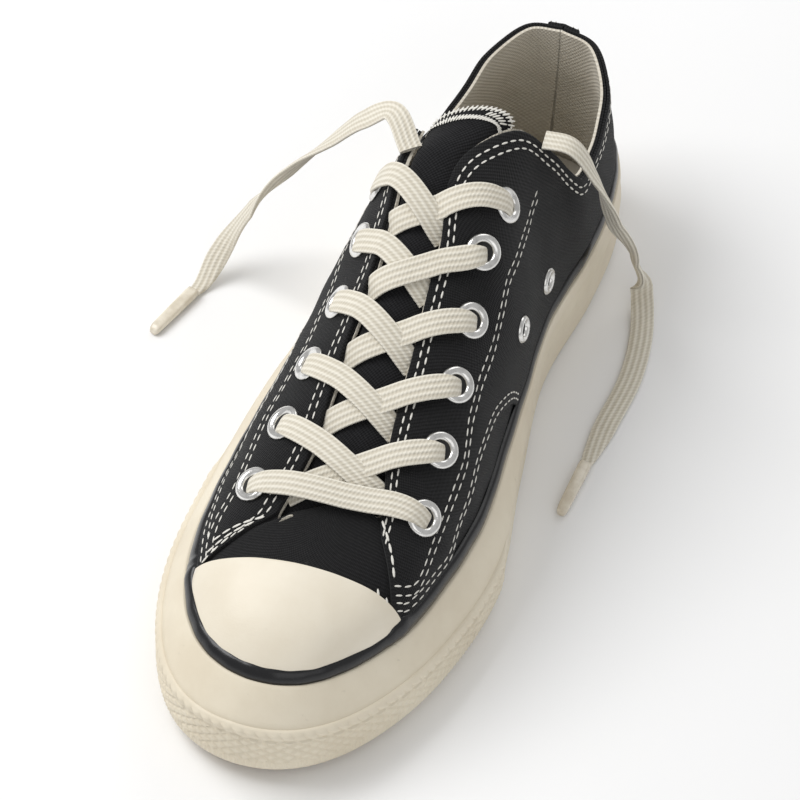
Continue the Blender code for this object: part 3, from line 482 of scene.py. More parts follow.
def new_material(name, roughness=0.8, metallic=0.0, **constants):
    made = bpy.data.materials.new(name)
    made.use_nodes = True
    tree = made.node_tree
    shader = tree.nodes["Principled BSDF"]
    shader.inputs["Roughness"].default_value = roughness
    shader.inputs["Metallic"].default_value = metallic
    for key, value in constants.items():
        shader.inputs[key.replace("_", " ")].default_value = value
    place = tree.nodes.new("ShaderNodeTexCoord")
    return made, tree, shader, S(tree, place.outputs["Object"]), S(tree, place.outputs["UV"])


def noise(place, scale, detail=3.0, rough=0.5):
    return place.node("ShaderNodeTexNoise", i0=place, Scale=scale, Detail=detail, Roughness=rough)


def link(tree, value, shader, name):
    tree.links.new(value.socket, shader.inputs[name])


def bump(tree, shader, height, distance, strength=1.0):
    made = tree.nodes.new("ShaderNodeBump")
    made.inputs["Strength"].default_value = strength
    made.inputs["Distance"].default_value = distance
    tree.links.new(height.socket, made.inputs["Height"])
    tree.links.new(made.outputs[0], shader.inputs["Normal"])


print("shader helper ready")

# %% [markdown]
# ## Cloth materials
# Canvas, lining, twill and tape are all woven. Two crossed waves along the piece's own measured coordinates give
# threads that go over and under each other. The black canvas keeps a little pale dust on its high threads.

# %% cloth
def split(uv):
    made = uv.tree.nodes.new("ShaderNodeSeparateXYZ")
    uv.tree.links.new(uv.socket, made.inputs[0])
    return S(uv.tree, made.outputs[0]), S(uv.tree, made.outputs[1])


def woven(name, dark, pale, pitch, roughness=0.92, relief=0.00022, dust=0.0, stain=None):
    made, tree, shader, place, uv = new_material(name, roughness, Specular_IOR_Level=0.25, Sheen_Weight=0.08)
    u, v = split(uv)
    u = u * (np.pi / pitch)
    v = v * (np.pi / pitch)
    weave = u.sine() * v.sine()
    threads = weave * 0.5 + 0.5
    grain = noise(place, 900.0, 2.0)
    colour = blend((threads * 0.7 + grain * 0.5 - 0.1).step(0.1, 1.0), dark, pale)
    if dust:
        fluff = noise(place, 60.0, 6.0, 0.7).step(0.62, 0.80) * noise(place, 1400.0, 2.0).step(0.5, 0.75)
        colour = blend(fluff * dust, colour, (0.35, 0.34, 0.32))
    if stain:
        colour = blend(noise(place, 38.0, 5.0, 0.65).step(0.45, 0.75) * 0.55, colour, stain)
    link(tree, colour, shader, "Base Color")
    bump(tree, shader, threads + grain * 0.3, relief)
    return made


canvas = woven("canvas black", (0.0035, 0.0035, 0.0038), (0.016, 0.016, 0.017), 0.00062, dust=0.5)
canvas_tongue = woven("canvas tongue", (0.004, 0.004, 0.0045), (0.019, 0.019, 0.021), 0.00062, dust=0.25)
lining = woven("lining cream", (0.60, 0.55, 0.46), (0.74, 0.70, 0.61), 0.0009, stain=(0.50, 0.44, 0.35))
twill = woven("insole twill", (0.50, 0.47, 0.42), (0.68, 0.65, 0.59), 0.0011, stain=(0.46, 0.42, 0.36))
edge_cloth = woven("raw edge", (0.66, 0.62, 0.53), (0.80, 0.77, 0.69), 0.0007)
thread = woven("stitch thread", (0.70, 0.68, 0.62), (0.86, 0.84, 0.79), 0.0004, relief=0.00005)
print("cloth:", canvas.name, lining.name, twill.name)

# %% [markdown]
# ## Cotton lace, rubber, metal, plastic
# A flat lace is braided, so fine ribs run along it. The rubbers differ: the sole's is matt with soft clouding, the
# trim's is moulded glossy black. Eyelets are nickel plated, and their holes are closed by near-black painted shade.

# %% other materials
def lace_material():
    made, tree, shader, place, uv = new_material("lace cotton", 0.9, Specular_IOR_Level=0.2, Sheen_Weight=0.15)
    u, v = split(uv)
    ribs = (v * (np.pi * 2.0 / 0.0019)).sine() * 0.5 + 0.5
    braid = ((u + v * 0.6) * (np.pi * 2.0 / 0.0013)).sine() * 0.5 + 0.5
    fuzz = noise(place, 700.0, 3.0)
    shade = (ribs * 0.55 + braid * 0.2 + fuzz * 0.35 + noise(place, 55.0, 3.0) * 0.3 - 0.2).step(0.0, 1.0)
    link(tree, blend(shade, (0.58, 0.53, 0.43), (0.83, 0.79, 0.69)), shader, "Base Color")
    bump(tree, shader, ribs + braid * 0.4 + fuzz * 0.3, 0.00022)
    return made


def rubber(name, low, high, roughness, relief=0.00004, grime=0.0):
    made, tree, shader, place, uv = new_material(name, roughness, Specular_IOR_Level=0.45)
    cloud = noise(place, 28.0, 5.0, 0.6).step(0.3, 0.75)
    colour = blend(cloud, low, high)
    if grime:
        spots = noise(place, 240.0, 4.0, 0.7).step(0.66, 0.74)
        colour = blend(spots * grime, colour, (0.30, 0.25, 0.18))
    link(tree, colour, shader, "Base Color")
    link(tree, noise(place, 90.0, 3.0) * 0.12 + (roughness - 0.06), shader, "Roughness")
    bump(tree, shader, noise(place, 1500.0, 3.0) + noise(place, 60.0, 2.0) * 2.0, relief)
    return made


lace_cotton = lace_material()
cream_rubber = rubber("rubber cream", (0.70, 0.62, 0.48), (0.79, 0.72, 0.58), 0.55, grime=0.16)
cap_rubber = rubber("rubber cap", (0.74, 0.67, 0.54), (0.81, 0.75, 0.63), 0.42, grime=0.05)
black_rubber = rubber("rubber black", (0.004, 0.004, 0.005), (0.009, 0.009, 0.010), 0.26, 0.00003)
sole_rubber = rubber("rubber outsole", (0.42, 0.27, 0.15), (0.52, 0.35, 0.20), 0.6, 0.00008, 0.2)


def metal_material():
    made, tree, shader, place, uv = new_material("nickel", 0.2, 1.0)
    wear = noise(place, 420.0, 4.0).step(0.4, 0.7)
    link(tree, blend(wear, (0.80, 0.79, 0.77), (0.66, 0.65, 0.63)), shader, "Base Color")
    link(tree, noise(place, 800.0, 3.0) * 0.18 + 0.12, shader, "Roughness")
    bump(tree, shader, noise(place, 2200.0, 2.0), 0.00002)
    return made


def plastic_material():
    made, tree, shader, place, uv = new_material("aglet plastic", 0.25, Coat_Weight=0.4)
    cloud = noise(place, 260.0, 4.0).step(0.35, 0.7)
    link(tree, blend(cloud, (0.66, 0.59, 0.47), (0.80, 0.74, 0.62)), shader, "Base Color")
    bump(tree, shader, noise(place, 600.0, 2.0), 0.00005)
    return made


# Near-black material for the discs set into the eyelet and vent holes: painted shade standing in for each hole's dark
# depth.
def hole_shade_material():
    made, tree, shader, place, uv = new_material("eyelet inside", 0.7)
    link(tree, blend(noise(place, 500.0).step(0.3, 0.7), (0.004, 0.004, 0.004), (0.012, 0.012, 0.012)), shader, "Base Color")
    return made


# inside is the painted shade material for the hole discs.
nickel, plastic, inside = metal_material(), plastic_material(), hole_shade_material()
print("rubber, metal, lace and plastic ready")

# %% [markdown]
# ## Mesh helpers
# A grid of points becomes faces. Its UV map holds real distances in metres, so that one weave pitch fits every
# piece. Thin pieces are a front and a back grid joined round the edge.

# %% mesh helpers
def grid_faces(rows, columns, close_rows=False, close_columns=False):
    index = np.arange(rows * columns).reshape(rows, columns)
    if close_rows:
        index = np.concatenate([index, index[:1]])
    if close_columns:
        index = np.concatenate([index, index[:, :1]], axis=1)
    return np.stack([index[:-1, :-1], index[:-1, 1:], index[1:, 1:], index[1:, :-1]], -1).reshape(-1, 4)


def measure(points):
    u = np.concatenate([[0.0], np.cumsum(np.linalg.norm(np.diff(points, axis=0), axis=-1).mean(axis=1))])
    steps = np.linalg.norm(np.diff(points, axis=1), axis=-1)
    v = np.concatenate([np.zeros((len(points), 1)), np.cumsum(steps, axis=1)], 1)
    return np.stack([np.broadcast_to(u[:, None], v.shape), v], -1)


def build(name, points, faces, material, coords=None, sharp=50.0):
    mesh = bpy.data.meshes.new(name)
    mesh.from_pydata(points.reshape(-1, 3).tolist(), [], [tuple(map(int, face)) for face in faces])
    mesh.materials.append(material)
    if coords is not None:
        layer = mesh.uv_layers.new(name="cloth")
        corner = np.empty(len(mesh.loops), np.int32)
        mesh.loops.foreach_get("vertex_index", corner)
        layer.data.foreach_set("uv", coords.reshape(-1, 2)[corner].astype(np.float32).ravel())
    work = bmesh.new()
    work.from_mesh(mesh)
    bmesh.ops.remove_doubles(work, verts=work.verts, dist=1e-7)
    bmesh.ops.recalc_face_normals(work, faces=work.faces)
    work.to_mesh(mesh)
    work.free()
    mesh.shade_smooth()
    mesh.set_sharp_from_angle(angle=np.radians(sharp))
    made = bpy.data.objects.new(name, mesh)
    bpy.context.scene.collection.objects.link(made)
    return made


def slab(name, outer, inner, material, closed=False, sharp=50.0):
    rows, columns, _ = outer.shape
    layer = rows * columns
    faces = [grid_faces(rows, columns, closed), grid_faces(rows, columns, closed)[:, ::-1] + layer]
    index = np.arange(layer).reshape(rows, columns)
    if closed:
        index = np.concatenate([index, index[:1]])
    for line in (index[:, 0], index[:, -1]) + (() if closed else (index[0], index[-1])):
        faces.append(np.stack([line[:-1], line[1:], line[1:] + layer, line[:-1] + layer], -1))
    coords = measure(outer)
    return build(name, np.concatenate([outer.reshape(-1, 3), inner.reshape(-1, 3)]), np.concatenate(faces), material,
                 np.concatenate([coords.reshape(-1, 2)] * 2), sharp)


def tube(name, sections, material, closed=True, sharp=60.0):
    rows, columns, _ = sections.shape
    faces = list(grid_faces(rows, columns, closed, True))
    if not closed:
        faces += [tuple(range(columns)), tuple(range((rows - 1) * columns, rows * columns))[::-1]]
    return build(name, sections, faces, material, measure(sections), sharp)


def between(low, high, shares):
    return low[:, None] + (high - low)[:, None] * np.asarray(shares)[None, :]


def join(name, pieces):
    for piece in pieces[1:]:
        for slot in piece.data.materials:
            if slot.name not in [other.name for other in pieces[0].data.materials]:
                pieces[0].data.materials.append(slot)
    with bpy.context.temp_override(active_object=pieces[0], selected_editable_objects=pieces, selected_objects=pieces):
        bpy.ops.object.join()
    pieces[0].name = name
    return pieces[0]


def take(piece, *nodes):
    if piece.name.endswith(".001"):
        piece.name = piece.name[:-4] + "_fine"
    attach(piece, "root")
    if nodes:
        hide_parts(*nodes)
    return piece


print("mesh helpers ready")

# %% [markdown]
# ## Free lace ends
# The lace's two ends leave the top eyelets, fall over the shoe's sides and lie on the floor. Each is a flat ribbon
# along the route, ending in a hard clear tip that lets it be threaded.

# %% lace ends
def ribbon_sections(centres, sideways, normals, width, thickness):
    turn = np.linspace(0.0, 2.0 * np.pi, 24, endpoint=False)
    wide = np.sign(np.cos(turn)) * np.abs(np.cos(turn)) ** 0.45 * 0.5
    thick = np.sign(np.sin(turn)) * np.abs(np.sin(turn)) ** 0.75 * 0.5
    width = np.broadcast_to(width, len(centres))[:, None, None]
    thickness = np.broadcast_to(thickness, len(centres))[:, None, None]
    return (centres[:, None] + sideways[:, None] * wide[None, :, None] * width
            + normals[:, None] * thick[None, :, None] * thickness)


def lace_end(side, route):
    path = cord_points(route)
    fine = cord_points(route, 150)
    fine[:, 2] = np.maximum(fine[:, 2] - 0.0012 * np.clip((0.012 - fine[:, 2]) / 0.009, 0.0, 1.0), 0.0010)
    along = unit(np.gradient(fine, axis=0))
    flat = np.cross(along, [0.0, 0.0, 1.0])
    flat = unit(flat)
    share = np.linspace(0.0, 1.0, len(fine))
    turn = 0.5 * np.sin(share * 9.0) * np.sin(np.pi * share)
    normal = unit(np.cross(flat, along))
    sideways = flat * np.cos(turn)[:, None] + normal * np.sin(turn)[:, None]
    on_floor = np.clip((0.006 - fine[:, 2]) / 0.004, 0.0, 1.0)[:, None]
    sideways = unit(sideways * (1 - on_floor) + flat * on_floor)
    normal = unit(np.cross(sideways, along))
    narrow = 1.0 - 0.55 * np.clip((share - 0.90) / 0.10, 0.0, 1.0) ** 1.5
    sections = ribbon_sections(fine, sideways, normal, LACE_WIDTH * narrow, 0.0017)
    body = tube(f"lace_end_{side}", sections, lace_cotton, False)
    take(body, f"lace_end_{side}")

    forward = unit((path[-1] - path[-2]) * [1, 1, 0])
    start = np.array([*path[-1][:2], 0.0021]) - forward * 0.001
    shares = np.array([0.0, 0.02, 0.1, 0.5, 0.9, 0.97, 1.0])
    radii = np.array([0.0014, 0.00165, 0.0017, 0.00162, 0.0015, 0.0013, 0.0009])
    centres = start + forward * (shares * 0.022)[:, None]
    centres[:, 2] = radii + 0.0002
    across = np.cross(forward, [0.0, 0.0, 1.0])
    across = np.repeat(across[None], len(shares), 0)
    upright = np.repeat([[0.0, 0.0, 1.0]], len(shares), 0)
    rounds = ribbon_sections(centres, across, upright, 2.5 * radii, 1.9 * radii)
    tip = take(tube(f"aglet_{side}", rounds, plastic, False), f"aglet_{side}")
    return body


lace_end("medial", LACE_END_MEDIAL)
lace_end("lateral", LACE_END_LATERAL)

# %% [markdown]
# ## Soft creases
# Canvas that has been walked in isn't a perfect skin. A few shallow troughs and ridges, well under a millimetre,
# cross the sides of the vamp and the ankle. Each is a soft groove round a short line in space.

# %% creases
CREASES = [
    ((0.036, -0.052, 0.040), (0.047, -0.020, 0.040), 0.0060, -0.0005),
    ((0.034, -0.040, 0.045), (0.046, -0.034, 0.036), 0.0045, 0.0004),
    ((-0.030, -0.070, 0.046), (-0.044, -0.040, 0.040), 0.0060, -0.0005),
    ((0.030, 0.068, 0.075), (0.038, 0.105, 0.055), 0.0080, -0.0007),
    ((0.034, 0.058, 0.066), (0.040, 0.080, 0.045), 0.0070, 0.0006),
    ((-0.010, -0.082, 0.055), (0.014, -0.084, 0.056), 0.0050, -0.0004),
    ((-0.028, 0.060, 0.070), (-0.034, 0.100, 0.055), 0.0080, -0.0006),
]


def skin(at, along, offset):
    base = shell(at, along, offset)
    lift = np.zeros(base.shape[:-1])
    for start, end, width, height in CREASES:
        start, end = np.array(start), np.array(end)
        reach = end - start
        share = np.clip(((base - start) @ reach) / (reach @ reach), 0.0, 1.0)
        away = np.linalg.norm(base - start - share[..., None] * reach, axis=-1)
        lift += height * np.exp(-((away / width) ** 2))
    first = np.sin(base[..., 1] * 260.0 + base[..., 2] * 190.0)
    wave = 0.00018 * first * np.sin(base[..., 2] * 170.0 - base[..., 1] * 70.0)
    return shell(at, along, np.asarray(offset) + lift + wave)


print(len(CREASES), "creases")

# %% [markdown]
# ## Upper and lining
# The upper is two cloths glued together: black canvas outside and cream cotton inside. They are cut to the same
# edge, and the lining's raw edge shows as a thin pale line round collar and throat.

# %% upper
edge_shares = np.concatenate([np.linspace(0.0, 0.96, 40), [0.975, 0.988, 0.996, 1.0]])
low = np.zeros(len(places))
outer = skin(places[:, None], between(low, np.ones(len(places)), edge_shares), 0.0)
inner = skin(places[:, None], between(low, np.ones(len(places)), edge_shares), -0.0009)
upper = take(slab("upper_canvas", outer, inner, canvas, True), "upper")
over = skin(places[:, None], between(low, np.full(len(places), 1.0), edge_shares), -0.00095)
under = skin(places[:, None], between(low, np.full(len(places), 1.0), edge_shares), -0.0018)
tip_up = unit(over[:, -1] - over[:, -2])
over[:, -1] += tip_up * 0.0006
under[:, -1] += tip_up * 0.0006
upper_lining = take(slab("upper_lining", over, under, lining, True), "upper")
print("upper rows:", outer.shape)

# %% [markdown]
# ## Quarters
# The quarters are the big side panels. In front they narrow into the eyestays, where the lace holes sit. Their
# lower front edge sweeps up from the sole, so the vamp shows below it. The pale line is the cut edge of the cloth.

# %% quarters
def run(start, stop, edges, count, width=0.03):
    fine = np.linspace(start, stop, 500)
    low_edge, high_edge = edges(fine)
    fine = fine[high_edge - low_edge > width]
    return np.linspace(fine[0], fine[-1], count)


def band(name, at, edges, lift, thickness, material, columns=34):
    rim = 0.0035
    shares = np.concatenate([[0.0, rim, 3 * rim], np.linspace(0.03, 0.97, columns), [1 - 3 * rim, 1 - rim, 1.0]])
    height = np.concatenate([[0.55, 0.9, 1.0], np.ones(columns), [1.0, 0.9, 0.55]])
    levels = between(*edges(at), shares)
    front = skin(at[:, None], levels, lift + thickness * height[None, :])
    return slab(name, front, skin(at[:, None], levels, lift * np.ones_like(levels)), material)


def quarter_edges(at):
    return quarter_lower_edge(at), stay_edge(at)


quarters = {}
for side, ends in (("medial", (0.0015, 1.0)), ("lateral", (1.0, 1.9985))):
    at = run(*ends, quarter_edges, 220, 0.012)
    quarters[side] = at
    take(band(f"quarter_{side}", at, quarter_edges, 0.0003, 0.0010, canvas), f"quarter_{side}")
print("quarters end at", {side: round(float(at[-1] if side == "medial" else at[0]), 3) for side, at in quarters.items()})

# %% [markdown]
# ## Toe cap, heel strip
# The cap is a smooth rubber shell over the toes, its rear edge slightly askew. The heel strip is a narrow cloth
# over the back seam, left bare.

# %% cap and strip
def cap_edges(at):
    return along_at_foxing(at, 0.5 * TAPE_WIDTH), cap_rear(at)


at = run(0.72, 1.28, cap_edges, 160, 0.012)
take(band("toe_cap", at, cap_edges, 0.0003, 0.0016, cap_rubber, 40), "toe_cap")

ends, _ = outline(np.array([0.0, 0.01]))
reach = 0.0085 * 0.01 / np.linalg.norm(ends[1] - ends[0])
at = np.linspace(-reach, reach, 24)
levels = between(along_at_foxing(at, 0.5 * TAPE_WIDTH), np.ones(len(at)), np.linspace(0, 1, 40))
side_drop = np.where(np.abs(np.linspace(-1, 1, 24)) > 0.93, 0.5, 1.0)[:, None]
outside = skin(at[:, None], levels, 0.0013 + 0.0009 * side_drop)
take(slab("heel_strip", outside, skin(at[:, None], levels, 0.0012), canvas), "heel_strip")
print("cap and strip made")

# %% [markdown]
# ## Rubber trim tape
# A glossy black strip covers the joint between canvas and foxing all round. It is pressed on by a roller, so its
# face is rounded. In front of the cap it is narrower, and at the cap's corners its cut ends overlap in a lump.

# %% tape
at = np.linspace(0.0, 2.0, 481)[:-1]
front = np.clip((station_of(at) - 0.74) / 0.05, 0.0, 1.0)
lump = np.exp(-(((at - 0.742) / 0.012) ** 2)) + np.exp(-(((at - 1.235) / 0.012) ** 2))
lump += 0.5 * np.exp(-(((at - 0.757) / 0.006) ** 2)) + 0.5 * np.exp(-(((at - 1.252) / 0.006) ** 2))
width = TAPE_WIDTH + 0.0006 - 0.0012 * front + 0.0016 * lump
height = 0.0021 + 0.0004 * front + 0.0008 * lump + 0.00008 * np.sin(at * 140.0)
turn = np.linspace(0.0, np.pi, 13)
shape = [(0.5 - 0.5 * np.cos(angle), np.sin(angle) ** 0.6) for angle in turn]
sections = []
for share, rise in shape:
    level = along_at_foxing(at, width * share - 0.0003)
    sections.append(shell(at, level, 0.0002 + height * rise))
take(tube("trim_tape", np.stack(sections, 1), black_rubber), "trim_tape")
print("tape", round(1000 * float(width.mean()), 1), "mm wide")

# %% [markdown]
# ## Foxing
# The foxing is the rubber wall wrapped round the shoe and cured with it. It is smooth above, has a small step, and
# behind the toe bumper carries thin ridge lines. The wall bulges a little, as soft rubber does.

# %% foxing
line = along_at_foxing(at)
step = bumper_line(at)
behind = np.clip((0.60 - station_of(at)) / 0.02, 0.0, 1.0)
sections = [
    sole_point(at, 0.0036, 0.0008),
    sole_point(at, 0.0036, OUTSOLE_THICKNESS),
    shell(at, 0.0 * line, GAP),
    shell(at, line, GAP),
    shell(at, line, GAP + 0.0008),
]
top_rim = shell(at, line, GAP + 0.0026)
sections.append(top_rim + (shell(at, line, GAP + 0.0015) - top_rim) * 0.4 + np.array([0, 0, 0.0003]))
foot = sole_point(at, 0.0008, step + 0.0008)
for share in (0.0, 0.08, 0.3, 0.6, 0.9):
    bulge = 0.0005 * np.sin(np.pi * share)
    point = top_rim + (foot - top_rim) * share
    _, inward = outline(at)
    point[:, :2] -= inward * bulge
    sections.append(point)
for share in np.linspace(0.0, 1.0, 34):
    level = step - (step - 0.0030) * share
    ridge = 0.00035 * np.exp(-(((share - 0.08) / 0.035) ** 2))
    ridge = ridge + 0.0003 * np.exp(-(((share - 0.78) / 0.03) ** 2))
    ridge = ridge + 0.0003 * np.exp(-(((share - 0.88) / 0.03) ** 2))
    ridge = ridge * behind - 0.00025 * np.exp(-(((share - 0.16) / 0.03) ** 2)) * behind
    sections.append(sole_point(at, -ridge + 0.0001, level))
sections += [sole_point(at, 0.0004, 0.0020), sole_point(at, 0.0012, 0.0010)]
take(tube("foxing", np.stack(sections, 1), cream_rubber), "foxing")
print("foxing sections:", len(sections))

# %% [markdown]
# ## Toe bumper
# A second rubber layer wraps the front. Its face is moulded: a rope-like rim of slanted ribs, rows of diamonds, and
# a strip of fine upright ribs near the floor. The mould's pattern is added as height on a fine grid.

# %% bumper
count_u, count_v = ((840, 58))
bumper_at = np.linspace(0.572, 2.0 - 0.572, count_u)
plan, inward = outline(bumper_at)
travel = np.concatenate([[0.0], np.cumsum(np.linalg.norm(np.diff(plan, axis=0), axis=1))])
top = bumper_line(bumper_at)
share = np.linspace(0.0, 1.0, count_v)
level = 0.0034 + (top[:, None] - 0.0034) * share[None, :]
fade = np.clip(np.minimum(travel, travel[-1] - travel) / 0.012, 0.0, 1.0)[:, None]
u = travel[:, None] * np.ones_like(level)
v = top[:, None] - level
rope = np.abs(np.sin(np.pi * (u / 0.0036 + v * 160.0)))
rope = 0.00075 * rope**0.7 * np.exp(-(((v - 0.0022) / 0.0013) ** 4))
cell_u, cell_v = 0.0052, 0.0037
a = u / cell_u + (v - 0.0045) / cell_v
b = u / cell_u - (v - 0.0045) / cell_v
from_middle = np.maximum(np.abs(np.mod(a, 1.0) - 0.5), np.abs(np.mod(b, 1.0) - 0.5))
grooves = np.clip((0.5 - from_middle) / 0.22, 0.0, 1.0)
in_diamonds = ((v > 0.0043) & (level > 0.0082)).astype(float)
diamonds = 0.00065 * grooves * in_diamonds
in_low_ribs = (level < 0.0078) & (level > 0.0048)
low_ribs = 0.00028 * (0.5 + 0.5 * np.sin(u * 2 * np.pi / 0.0017)) * in_low_ribs
thickness = BUMPER_THICKNESS * (0.2 + 0.8 * fade) - 0.0006
edge = np.clip(np.minimum((1.0 - share) / 0.05, share / 0.07), 0.0, 1.0)[None, :]
push = thickness * (0.35 + 0.65 * np.sqrt(edge)) + (rope + diamonds + low_ribs) * fade * edge
face = np.stack([plan[:, None, 0] - inward[:, None, 0] * push, plan[:, None, 1] - inward[:, None, 1] * push,
                 spring(plan[:, None, 1]) + level], -1)
back = np.stack([plan[:, None, 0] + 0.0004 * inward[:, None, 0] + 0 * push, plan[:, None, 1] + 0.0004 * inward[:, None, 1] + 0 * push,
                 spring(plan[:, None, 1]) + level], -1)
take(slab("toe_bumper", face, back, cream_rubber, sharp=80.0), "toe_bumper")
print("bumper runs", round(1000 * travel[-1]), "mm")

# %% [markdown]
# ## Sole inside and out
# The outsole and the insole keep their own solids and only get materials: a gum-coloured rubber below, a twill
# cloth on foam inside.

# %% sole
bpy.data.objects["outsole"].data.materials[0] = sole_rubber
bpy.data.objects["insole"].data.materials[0] = twill
print("sole dressed")

# %% [markdown]
# ## Tongue
# The tongue lies under the eyestays and stands a little above them, with a rounded top. A white overlock seam keeps
# its edge from fraying.

# %% tongue
TONGUE_ROWS = [(-1.00, 1.00, 1.00), (0.00, 1.00, 1.00), (0.18, 1.00, 1.00), (0.36, 1.00, 1.00), (0.54, 1.00, 1.00),
               (0.70, 0.85, 1.00), (0.84, 0.35, 1.00), (0.94, 0.10, 1.00), (1.20, 0.00, 1.00), (1.60, 0.00, 0.98),
               (1.88, 0.00, 0.86), (2.00, 0.00, 0.66)]
length = throat_length()[1][-1]
marks = [-0.008, 0.0, length, length + 0.009]
keys = np.array([row[0] for row in TONGUE_ROWS])
row_keys = np.concatenate([np.linspace(-1.0, 0.0, 5), np.linspace(0.0, 1.0, 36)[1:], np.linspace(1.0, 2.0, 16)[1:]])
rows = np.interp(row_keys, [-1.0, 0.0, 1.0, 2.0], marks)
tucked = np.interp(row_keys, keys, [row[1] for row in TONGUE_ROWS])
narrowing = np.interp(row_keys, keys, [row[2] for row in TONGUE_ROWS])
outer, inner, tongue_normals = [], [], []
for distance, tuck, narrow in zip(rows, tucked, narrowing):
    width = narrow * (1.75 + 0.55 * tuck)
    across = width * np.linspace(-1.0, 1.0, 27)
    crown = 0.0024 * np.clip(1.0 - across**2, 0.0, None) - 0.0034 + 0.0003 * np.sin(distance * 330.0) * np.cos(across * 2.0)
    found = [throat_point(distance, value, lift) for value, lift in zip(across, crown)]
    outer.append([point for point, _ in found])
    inner.append([point - normal * 0.0022 for point, normal in found])
    tongue_normals.append([normal for _, normal in found])
outer, inner, tongue_normals = np.array(outer), np.array(inner), np.array(tongue_normals)
take(slab("tongue", outer, inner, canvas_tongue), "tongue")
print("tongue is", round(1000 * (length + 0.017)), "mm long")

# %% [markdown]
# ## Eyelets and vents
# A metal eyelet is a short tube whose upper end is rolled over into a flange. The flange's profile is turned round
# its axis. A near-black disc in each hole is painted shade for the hole's dark depth. One mesh holds all twelve lace
# eyelets, and another the two vents on the medial side.

# %% eyelets
def ring(centre, normal, radius, bore, height):
    turn = np.linspace(0.0, 2.0 * np.pi, 36, endpoint=False)
    across = unit(np.cross(normal, [0.3, 0.2, 0.9]))
    other = np.cross(normal, across)
    profile = [(radius, 0.0), (radius, 0.25 * height), (radius - 0.0005, 0.75 * height), (0.5 * (radius + bore) + 0.0002, height),
               (bore + 0.0006, 0.72 * height), (bore, 0.3 * height), (bore, -0.0016), (bore + 0.0003, -0.0016), (bore + 0.0004, 0.0)]
    return np.array([[centre + (across * np.cos(angle) + other * np.sin(angle)) * far + normal * rise for far, rise in profile]
                     for angle in turn])


def disc(centre, normal, radius):
    turn = np.linspace(0.0, 2.0 * np.pi, 24, endpoint=False)
    across = unit(np.cross(normal, [0.3, 0.2, 0.9]))
    other = np.cross(normal, across)
    low_ring = [centre + (across * np.cos(angle) + other * np.sin(angle)) * radius for angle in turn]
    return np.array([low_ring, [point + normal * 0.0003 for point in low_ring]])


rings, holes, seats = [], [], {}
for side, sign in (("medial", 1.0), ("lateral", -1.0)):
    for row in range(1, EYELET_ROWS + 1):
        centre, normal = eyelet(side, sign, row, 0.0014)
        seats[sign, row] = centre, normal
        rings.append(tube(f"eyelet {side} {row}", ring(centre, normal, 0.0060, 0.0031, 0.0013), nickel))
        # A near-black disc under each eyelet's bore is painted shade in the hole.
        holes.append(tube(f"hole {side} {row}", disc(centre - normal * 0.0001, normal, 0.0032), inside, False))
names = [f"eyelet_{side}_{row}" for side in ("medial", "lateral") for row in range(1, EYELET_ROWS + 1)]
take(join("eyelets", rings + holes), *names)
vents = []
for name, (station, down) in VENTS.items():
    place = np.array([station])
    along = along_below_edge(place, down)
    centre = skin(place, along, 0.0014)[0]
    normal = unit(centre - surface(place, along)[0])
    vents.append(tube(name + " flange", ring(centre, normal, 0.0045, 0.0023, 0.0011), nickel))
    # A near-black disc in each vent is painted shade in the hole.
    vents.append(tube(name + " hole", disc(centre - normal * 0.0004, normal, 0.0024), inside, False))
take(join("vents", vents), "vent_upper", "vent_lower")
print(len(rings), "eyelets,", len(vents) // 2, "vents")

# %% [markdown]
# ## Lacing
# The lace starts as a straight bar through the front pair of holes and then crosses up the throat. Each length
# comes up out of its eyelet, lies flat over the eyestay, and dips under the opposite edge.

# %% lacing
def bar(name, start, finish, shares, heights, count=44):
    place = np.linspace(shares[0], shares[-1], count)
    lift = smooth(np.array(shares), np.array(heights), place)
    centres, normals = [], []
    for share_here, offset in zip(place, lift):
        centre, normal = throat_point(*throat_at(start + (finish - start) * share_here), offset)
        centres.append(centre)
        normals.append(normal)
    centres, normals = np.array(centres), np.array(normals)
    along = unit(np.gradient(centres, axis=0))
    sideways = unit(np.cross(normals, along))
    normals = np.cross(along, sideways)
    gather = 1.0 - 0.30 * np.exp(-(((place - shares[0]) / 0.10) ** 2))
    if name == "bar_1":
        gather = gather - 0.30 * np.exp(-(((place - shares[-1]) / 0.10) ** 2))
    thick = LACE_THICKNESS * (1.0 + 0.3 * (1.0 - gather))
    return tube(name, ribbon_sections(centres, sideways, normals, 1.06 * LACE_WIDTH * gather, thick), lace_cotton, False)


UP, STAY, TONGUE = 0.0030, 0.0024, 0.0006
bars = [bar("bar_1", seats[-1.0, 1][0][:2], seats[1.0, 1][0][:2], (-0.02, 0.05, 0.16, 0.40, 0.60, 0.84, 0.95, 1.02),
            (0.0004, 0.0028, 0.0034, 0.0042, 0.0042, 0.0034, 0.0028, 0.0004))]
for row in range(2, EYELET_ROWS + 1):
    lateral_over = row != EYELET_ROWS - 1
    for sign, over in ((-1.0, lateral_over), (1.0, not lateral_over)):
        middle = 0.0030 if over else TONGUE + 0.0006
        stay = 0.0030 if sign > 0 else (0.0034 if over else 0.0028)
        at_40 = stay if sign > 0 else middle
        at_60 = middle if sign < 0 else (0.0024 if over else 0.0015)
        finish = edge_at(-sign, seats[-sign, row - 1][0][1])
        bars.append(bar(f"bar_{row}_{sign:.0f}", seats[sign, row][0][:2], finish, (-0.02, 0.05, 0.16, 0.40, 0.60, 0.80, 1.04),
                        (0.0004, 0.0028, 0.0034, at_40, at_60, TONGUE + (0.0012 if over else 0.0), -0.0022)))
take(join("lace_bars", bars), *[f"lace_row_{row}" for row in range(1, EYELET_ROWS + 1)])
print(len(bars), "lengths of lace")

# %% [markdown]
# ## Stitches
# Seams are rows of thread stitches, each about 2.6 mm long with a small gap. A Geometry Nodes tree walks along a
# seam line, puts one small capsule at each step, and turns it to lie along the line and flat on the cloth.

